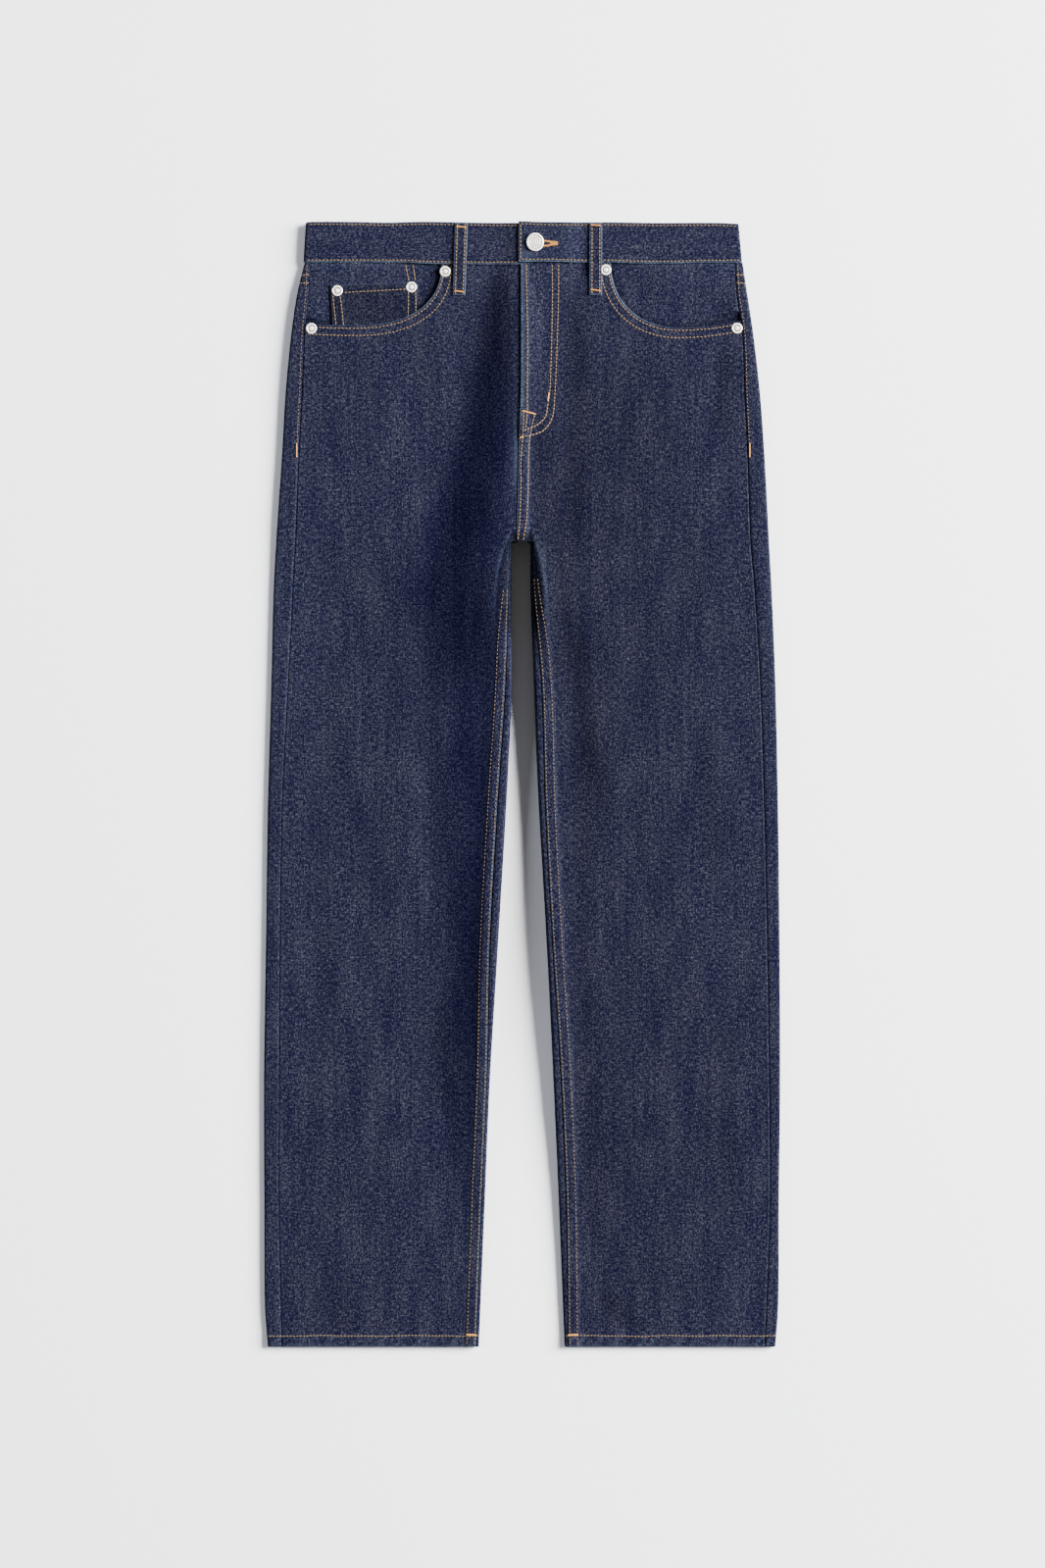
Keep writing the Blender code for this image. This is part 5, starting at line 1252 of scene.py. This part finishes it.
def addThread(name, dashes, material):
    # Tubes round the stitches' middle lines: oval rings, narrower at both ends, closed with four-sided caps
    v = stitchValues
    centres = np.concatenate([item[0] for item in dashes])
    up = np.concatenate([item[1] for item in dashes])[:, None, None] * np.array([0.0, 0.0, 1.0])
    tangent = np.gradient(centres, axis=1)
    lateral = np.cross(tangent, np.broadcast_to(up, centres.shape))
    lateral /= np.linalg.norm(lateral, axis=-1, keepdims=True)
    angle = 2 * math.pi * np.arange(v["sides"]) / v["sides"]
    size = np.concatenate([item[2] for item in dashes])
    scale = (v["radius"] * size[:, None] * np.array([0.5, 1.0, 1.0, 0.5]))[:, :, None, None]
    sideways = lateral[:, :, None] * np.cos(angle)[:, None]
    upwards = v["height"] * up[:, :, None] * np.sin(angle)[:, None]
    points = centres[:, :, None] + scale * (sideways + upwards)
    count, stations, sides = points.shape[:3]
    index = np.arange(count * stations * sides).reshape(count, stations, sides)
    after = np.roll(index, -1, axis=2)
    quads = [np.stack([index[:, :-1], after[:, :-1], after[:, 1:], index[:, 1:]], axis=-1).reshape(-1, 4)]
    for station, turn in ((0, -1), (stations - 1, 1)):
        ends = index[:, station]
        quads += [ends[:, [0, 1, 2, 3]][:, ::turn], ends[:, [0, 3, 4, 5]][:, ::turn]]
    item = addMesh(name, points.reshape(-1, 3), np.concatenate(quads), material)
    return item


def between(points, count=60):
    # A smooth line through given points: x and down from the cubic curve over the shares of its length
    points = np.array(points, dtype=float)
    reach = np.concatenate([[0.0], np.cumsum(np.hypot(*np.diff(points, axis=0).T))])
    place = np.linspace(0, reach[-1], count)
    table = np.column_stack([reach, points])
    return along(table, 1, place), along(table, 2, place)


def bandRow(x, down, lapped, facing=1):
    # A row along the waistband's front or back
    z = bandHeight(x, lapped) + 0.05 if facing > 0 else bandValues["low"] - 0.05
    addDashes(tanDashes, x, down, z, up=facing, size=0.85)


# Waistband: top and bottom rows, front and back, and the row down the lapped end
lapX = np.linspace(-1.6, 211.0, 200)
underX = np.linspace(-209.0, -4.6, 200)
backX = np.linspace(-207.5, 210.0, 300)
bandRow(lapX - 3.5 * smoothStep(190, 205, lapX), along(lapEdge, 1, lapX) + 2.7, True)
bandRow(lapX, along(lapLow, 1, lapX) - 2.3, True)
bandRow(underX + 2.2 * smoothStep(190, 205, -underX), along(underEdge, 1, underX) + 2.7, False)
bandRow(underX, along(underLow, 1, underX) - 2.3, False)
bandRow(backX, 2.9, False, -1)
bandRow(backX, 36.6, False, -1)
addDashes(tanDashes, -1.5, np.linspace(2.2, 36.2, 30), bandHeight(0.0, True) + 0.05)

# Buttonhole: an eye round the button's shank, two sides that close in, and a bartack at their end
holeValues = {"eyeX": 15.5, "eyeDown": 21.0, "eyeLong": 5.0, "eyeTall": 4.6, "thread": 1.9, "bar": 3.6}


def onLap(x, down):
    # Height of the lapped end's face
    return bandHeight(x, True) + 0.1


def addButtonhole(v):
    # Threads across the line of the sides and the eye, from one end round to the other
    angles = np.radians(np.linspace(35, 325, 26))
    eyeX = v["eyeX"] + v["eyeLong"] * np.cos(angles)
    eyeDown = v["eyeDown"] - v["eyeTall"] * np.sin(angles)
    x = np.concatenate([[34.0, 28.0, 24.0], eyeX, [24.0, 28.0, 34.0]])
    down = np.concatenate([[19.9, 19.6, 18.9], eyeDown, [23.3, 22.4, 21.9]])
    for start, end in zip(zip(x[:-1], down[:-1]), zip(x[1:], down[1:])):
        addTack(goldDashes, start, end, v["thread"], onLap)
    addTack(goldDashes, (27.4, 21.3), (34.2, 20.8), v["bar"], onLap)


addButtonhole(holeValues)

# Front belt loops: two rows, a bar near each end and the short tucked end below
for name, ends in frontLoops.items():
    down = np.linspace(1.8, 70.0, 60)
    for across in (-3.7, 3.7):
        addDashes(tanDashes, loopMiddle(ends, down) + across, down, loopHeight(name, down))
    lower = 1.6 if ends[0] < 0 else 0.0
    for place, tilt in ((3.4 + lower, 0.4), (66.3 + lower * 0.7, 0.5)):
        start = (loopMiddle(ends, place) - 4.6, place - tilt)
        end = (loopMiddle(ends, place) + 4.6, place + tilt)
        addTack(orangeDashes, start, end, 1.2, lambda x, down: loopHeight(name, down))


def underPatch(x, down):
    # Just inside the lower face of what lies flat on the floor
    return np.full(np.shape(x), body["lift"] + 0.25)


# Back belt loops
for name, ends in backLoops.items():
    down = np.linspace(1.8, 70.0, 40)
    for across in (-3.7, 3.7):
        addDashes(tanDashes, loopMiddle(ends, down) + across, down, body["lift"], up=-1)
    for place in (3.0, 66.4):
        middle = loopMiddle(ends, place)
        addTack(orangeDashes, (middle - 4.6, place), (middle + 4.6, place), 1.9, underPatch, up=-1)

# Fly, as x and down: the edge's row, two rows that curve in, and the two rows of the front rise
flyRows = (
    ((3.9, 41.0), (4.6, 80.0), (5.2, 118.0), (5.0, 150.0), (4.8, 170.0), (5.0, 184.0), (3.5, 201.0)),
    (
        (29.0, 41.2), (29.2, 69.9), (28.6, 110.0), (27.5, 145.9), (26.6, 164.9), (24.5, 179.2), (22.9, 188.5),
        (18.5, 194.4), (14.2, 197.7), (9.2, 200.5), (4.2, 202.0), (1.0, 203.2),
    ),
    (
        (35.2, 41.2), (35.1, 69.9), (34.0, 110.0), (32.7, 145.9), (31.7, 164.9), (30.8, 179.2), (29.5, 188.7),
        (26.7, 195.3), (22.9, 200.5), (19.0, 203.9), (13.0, 206.4), (7.6, 208.1), (2.2, 208.9), (-1.6, 210.3),
    ),
    (
        (12.0, 187.7), (9.5, 198.2), (8.5, 204.8), (7.0, 213.0), (6.0, 231.4), (5.7, 259.9), (4.3, 288.4),
        (2.2, 302.7), (1.1, 309.6),
    ),
    (
        (1.6, 184.5), (0.9, 203.0), (0.2, 213.0), (-1.2, 231.4), (-1.4, 259.9), (-2.2, 288.4), (-3.4, 302.7),
        (-4.2, 309.2),
    ),
)
straight = {"pitch": 3.5}
curving = {"pitch": 3.5, "length": 3.4, "size": 1.08}
for row in flyRows:
    x, down = between(row, 400)
    curved = (down > 176.0) & (x > -2.0) & (row[0][0] > 20.0)
    for part, options in ((~curved, straight), (curved, curving)):
        if part.sum() > 1:
            addDashes(tanDashes, x[part], down[part], frontSurface(1, x[part], down[part]), **options)
# Bartacks of the fly: start, end, width
flyTacks = (
    ((0.2, 184.1), (12.9, 187.1), 1.2), ((25.9, 166.2), (24.9, 173.8), 1.1),
    ((-2.2, 210.4), (0.8, 208.9), 1.2),
)
for start, end, width in flyTacks:
    addTack(orangeDashes, start, end, width, lambda x, down: frontSurface(1, x, down))

# Pocket openings: two rows outside each edge, out to the side seam
for sign in (-1, 1):
    for margin in (2.7, 9.8):
        out, down = openingPoint(sign, np.linspace(0.0, 1.0, 90), margin)
        keep = down > 40.5
        runOut, runDown = sideRun(sign, np.linspace(0.03, 0.985, 20))
        x = sign * np.concatenate([out[keep], runOut])
        down = np.concatenate([down[keep], runDown + margin])
        addDashes(tanDashes, x, down, frontSurface(sign, x, down))

# Coin pocket, as x and down: one row under its top edge, two rows down each side, and the rows above it
coinRows = (
    ((-173.0, 68.6), (-113.0, 65.1)), ((-183.6, 70.4), (-180.4, 99.6)), ((-176.3, 72.0), (-173.2, 99.8)),
    ((-110.2, 67.5), (-110.6, 92.5)), ((-103.3, 67.5), (-103.0, 87.5)),
)
for row in coinRows:
    x, down = between(row)
    addDashes(tanDashes, x, down, coinHeight(x, down) + coinValues["hem"], length=3.3, size=0.9)
for row in (((-113.1, 41.2), (-109.8, 57.0)), ((-105.8, 41.2), (-103.6, 56.6))):
    x, down = between(row)
    addDashes(tanDashes, x, down, facingHeight(-1, x, down) + 0.1, length=3.3, size=0.9)


def tableAt(table, column, down):
    # One number from a table
    return float(along(table, column, np.array(down)))


# Side seams: a row on the back panel's strip to a bartack, and the ends of the yoke's two rows
for sign in (-1, 1):
    sides = sideOf(sign)
    down = np.linspace(41.0, 216.0, 120)
    out = np.minimum(along(sides, 2, down) + 2.6, along(sides, 1, down) - 2.2)
    addDashes(tanDashes, sign * out, down, backTop(sign, sign * out, down), length=2.3, size=0.6)
    x = sign * (tableAt(sides, 2, 221.0) + 2.6)
    addTack(orangeDashes, (x, 214.6), (x, 227.8), 1.0, lambda x, down: backTop(sign, x, down))
    for place in (51.3, 59.2):
        outline = tableAt(sides, 1, place)
        out = np.linspace(tableAt(sides, 2, place) + 0.5, outline - 0.2, 16)
        turned = np.clip((out - outline) / body["foldDepth"] + 1, 0.0, 1.0)
        low = underHeight(sign * out, place)
        z = low + (backTop(sign, sign * out, place) - low) * (0.5 + 0.5 * np.sqrt(1 - turned**2))
        addDashes(tanDashes, sign * out, place, z, pitch=3.4, length=3.2, size=1.15)

# Inseams: two rows on the felled strip, and the hems, front and back, with a bartack at the inseam
hemDown = 1079.2
hemStitch = {"pitch": 3.3, "length": 3.0, "size": 0.9}
for sign in (-1, 1):
    down = np.linspace(357.0 if sign < 0 else 346.0, 1088.0, 420)
    seam = along(insideOf(sign), 2, down)
    for away in (1.8, 9.2):
        narrow = 1 - (0.58 if away > 5 else 0.45) * (1 - smoothStep(330, 420, down))
        x = sign * (seam + away * narrow)
        addDashes(tanDashes, x, down, frontSurface(sign, x, down), pitch=3.8, length=2.4, size=0.68)
    inside = tableAt(insideOf(sign), 1, hemDown)
    outside = tableAt(sideOf(sign), 1, hemDown)
    out = np.linspace(inside + 1.5, outside - 1.3, 160)
    down = hemDown + 0.5 * ripple(out, 70.0, 1.0 + sign)
    addDashes(tanDashes, sign * out, down, frontSurface(sign, sign * out, down), **hemStitch)
    addDashes(tanDashes, sign * out, hemDown, underHeight(sign * out, hemDown), up=-1, **hemStitch)
    seam = tableAt(insideOf(sign), 2, hemDown)
    start = (sign * (seam + 0.3), 1078.4)
    end = (sign * (seam + 9.6), 1078.0)
    addTack(orangeDashes, start, end, 1.6, lambda x, down: frontSurface(sign, x, down) + 0.1)


def onBack(x, down):
    # A row on the seat or the back of a leg
    addDashes(tanDashes, x, down, underHeight(x, down), up=-1)


# Back: the yoke's rows, the rise's rows, and the back pockets with their hems and bartacks
for sign in (-1, 1):
    out = np.linspace(2.0, 210.0, 120)
    share = np.interp(out, [0.15, 12.5, 213.0], [1.0, 0.95, 0.065])
    for shift in (-4.7, 3.3):
        slant = (backValues["yokeMiddle"] - backValues["yokeSide"]) * share
        onBack(sign * out, backValues["yokeSide"] + slant + shift)
    length = patchValues["side"]
    paths = []
    for inset in (2.2, 8.6):
        corner = 1 - inset * 2 / patchValues["width"]
        side = np.linspace(1.5 / length, 1 - inset * 0.85 / length, 40)
        paths += [patchPoint(sign, -corner, side), patchPoint(sign, corner, side)]
        paths.append(patchPoint(sign, np.linspace(-corner, corner, 61), 1 - inset * 1.02 / length))
    for inset in (2.4, 10.4):
        paths.append(patchPoint(sign, np.linspace(-0.97, 0.97, 40), inset / length))
    for x, down in paths:
        addDashes(tanDashes, x, down, body["lift"], up=-1)
    for corner in (-0.95, 0.95):
        x, down = patchPoint(sign, np.array([corner - 0.05, corner + 0.03]), np.array([0.012, 0.012]))
        addTack(orangeDashes, (x[0], down[0]), (x[1], down[1]), 1.8, underPatch, up=-1)
for away in (2.2, 8.8):
    onBack(away, np.linspace(41.0, 303.0, 120))

addThread("topstitching", tanDashes, tanThread)
addThread("bright_stitching", orangeDashes, orangeThread)
addThread("buttonhole_stitching", goldDashes, goldThread)
print("stitching made")

# Floor, camera and the room's faint light: lengths in metres, colours linear
viewValues = {
    "floorDark": (0.88, 0.89, 0.91, 1.0), "floorLight": (0.90, 0.91, 0.93, 1.0),
    "floorRoughness": 0.9, "floorSpecular": 0.1, "floorGrain": 1.2,
    "distance": 5.0, "clothHeight": 0.006, "centre": (0.0004, 0.0006), "height": 1.519, "sensor": 36.0,
    "room": (1.0, 0.98, 0.97, 1.0), "fill": 0.15,
}
# Lamps: place and size in metres, power in watts
lamps = {
    "key": {"place": (7.6, 2.4, 3.5), "size": (5.2, 4.8), "power": 8350.0, "colour": (1.0, 1.0, 1.0)},
    "side": {"place": (-7.4, 0.6, 3.4), "size": (4.0, 3.6), "power": 520.0, "colour": (0.94, 0.98, 1.12)},
}


def makeFloor(v):
    # A plain pale plane under the garment
    material, tree, shader = newMaterial("pale_floor", v["floorRoughness"])
    shader.inputs["Specular IOR Level"].default_value = v["floorSpecular"]
    noise = addOwnNoise(tree, v["floorGrain"], 0.0)
    tree.links.new(mixColour(tree, noise, v["floorDark"], v["floorLight"]), shader.inputs["Base Color"])
    mesh = bpy.data.meshes.new("floor")
    mesh.from_pydata([(-4, -4, 0), (4, -4, 0), (4, 4, 0), (-4, 4, 0)], [], [(0, 1, 2, 3)])
    mesh.materials.append(material)
    linkObject("floor", mesh)


def addLamp(name, v):
    # A soft light that looks at the garment's middle: tilt = atan(level distance / height), then turned to it
    light = bpy.data.lights.new(name, "AREA")
    light.shape = "RECTANGLE"
    light.size, light.size_y = v["size"]
    light.energy = v["power"]
    light.color = v["colour"]
    item = linkObject(name, light)
    item.location = v["place"]
    x, y, z = v["place"]
    item.rotation_euler = (math.atan2(math.hypot(x, y), z), 0.0, math.atan2(x, -y))


def lightRoom(v):
    # A faint even light from all round
    world = bpy.data.worlds.new("studio")
    world.use_nodes = True
    world.node_tree.nodes["Background"].inputs["Color"].default_value = v["room"]
    world.node_tree.nodes["Background"].inputs["Strength"].default_value = v["fill"]
    bpy.context.scene.world = world


def addCamera(v):
    # Straight above: lens = sensor * distance / height of the view
    camera = bpy.data.cameras.new("camera")
    camera.sensor_fit = "VERTICAL"
    camera.sensor_height = v["sensor"]
    camera.lens = v["sensor"] * v["distance"] / v["height"]
    camera.clip_end = 50.0
    item = linkObject("camera", camera)
    item.location = (*v["centre"], v["distance"] + v["clothHeight"])
    bpy.context.scene.camera = item


makeFloor(viewValues)
for name, values in lamps.items():
    addLamp(name, values)
lightRoom(viewValues)
addCamera(viewValues)
print("stage made")
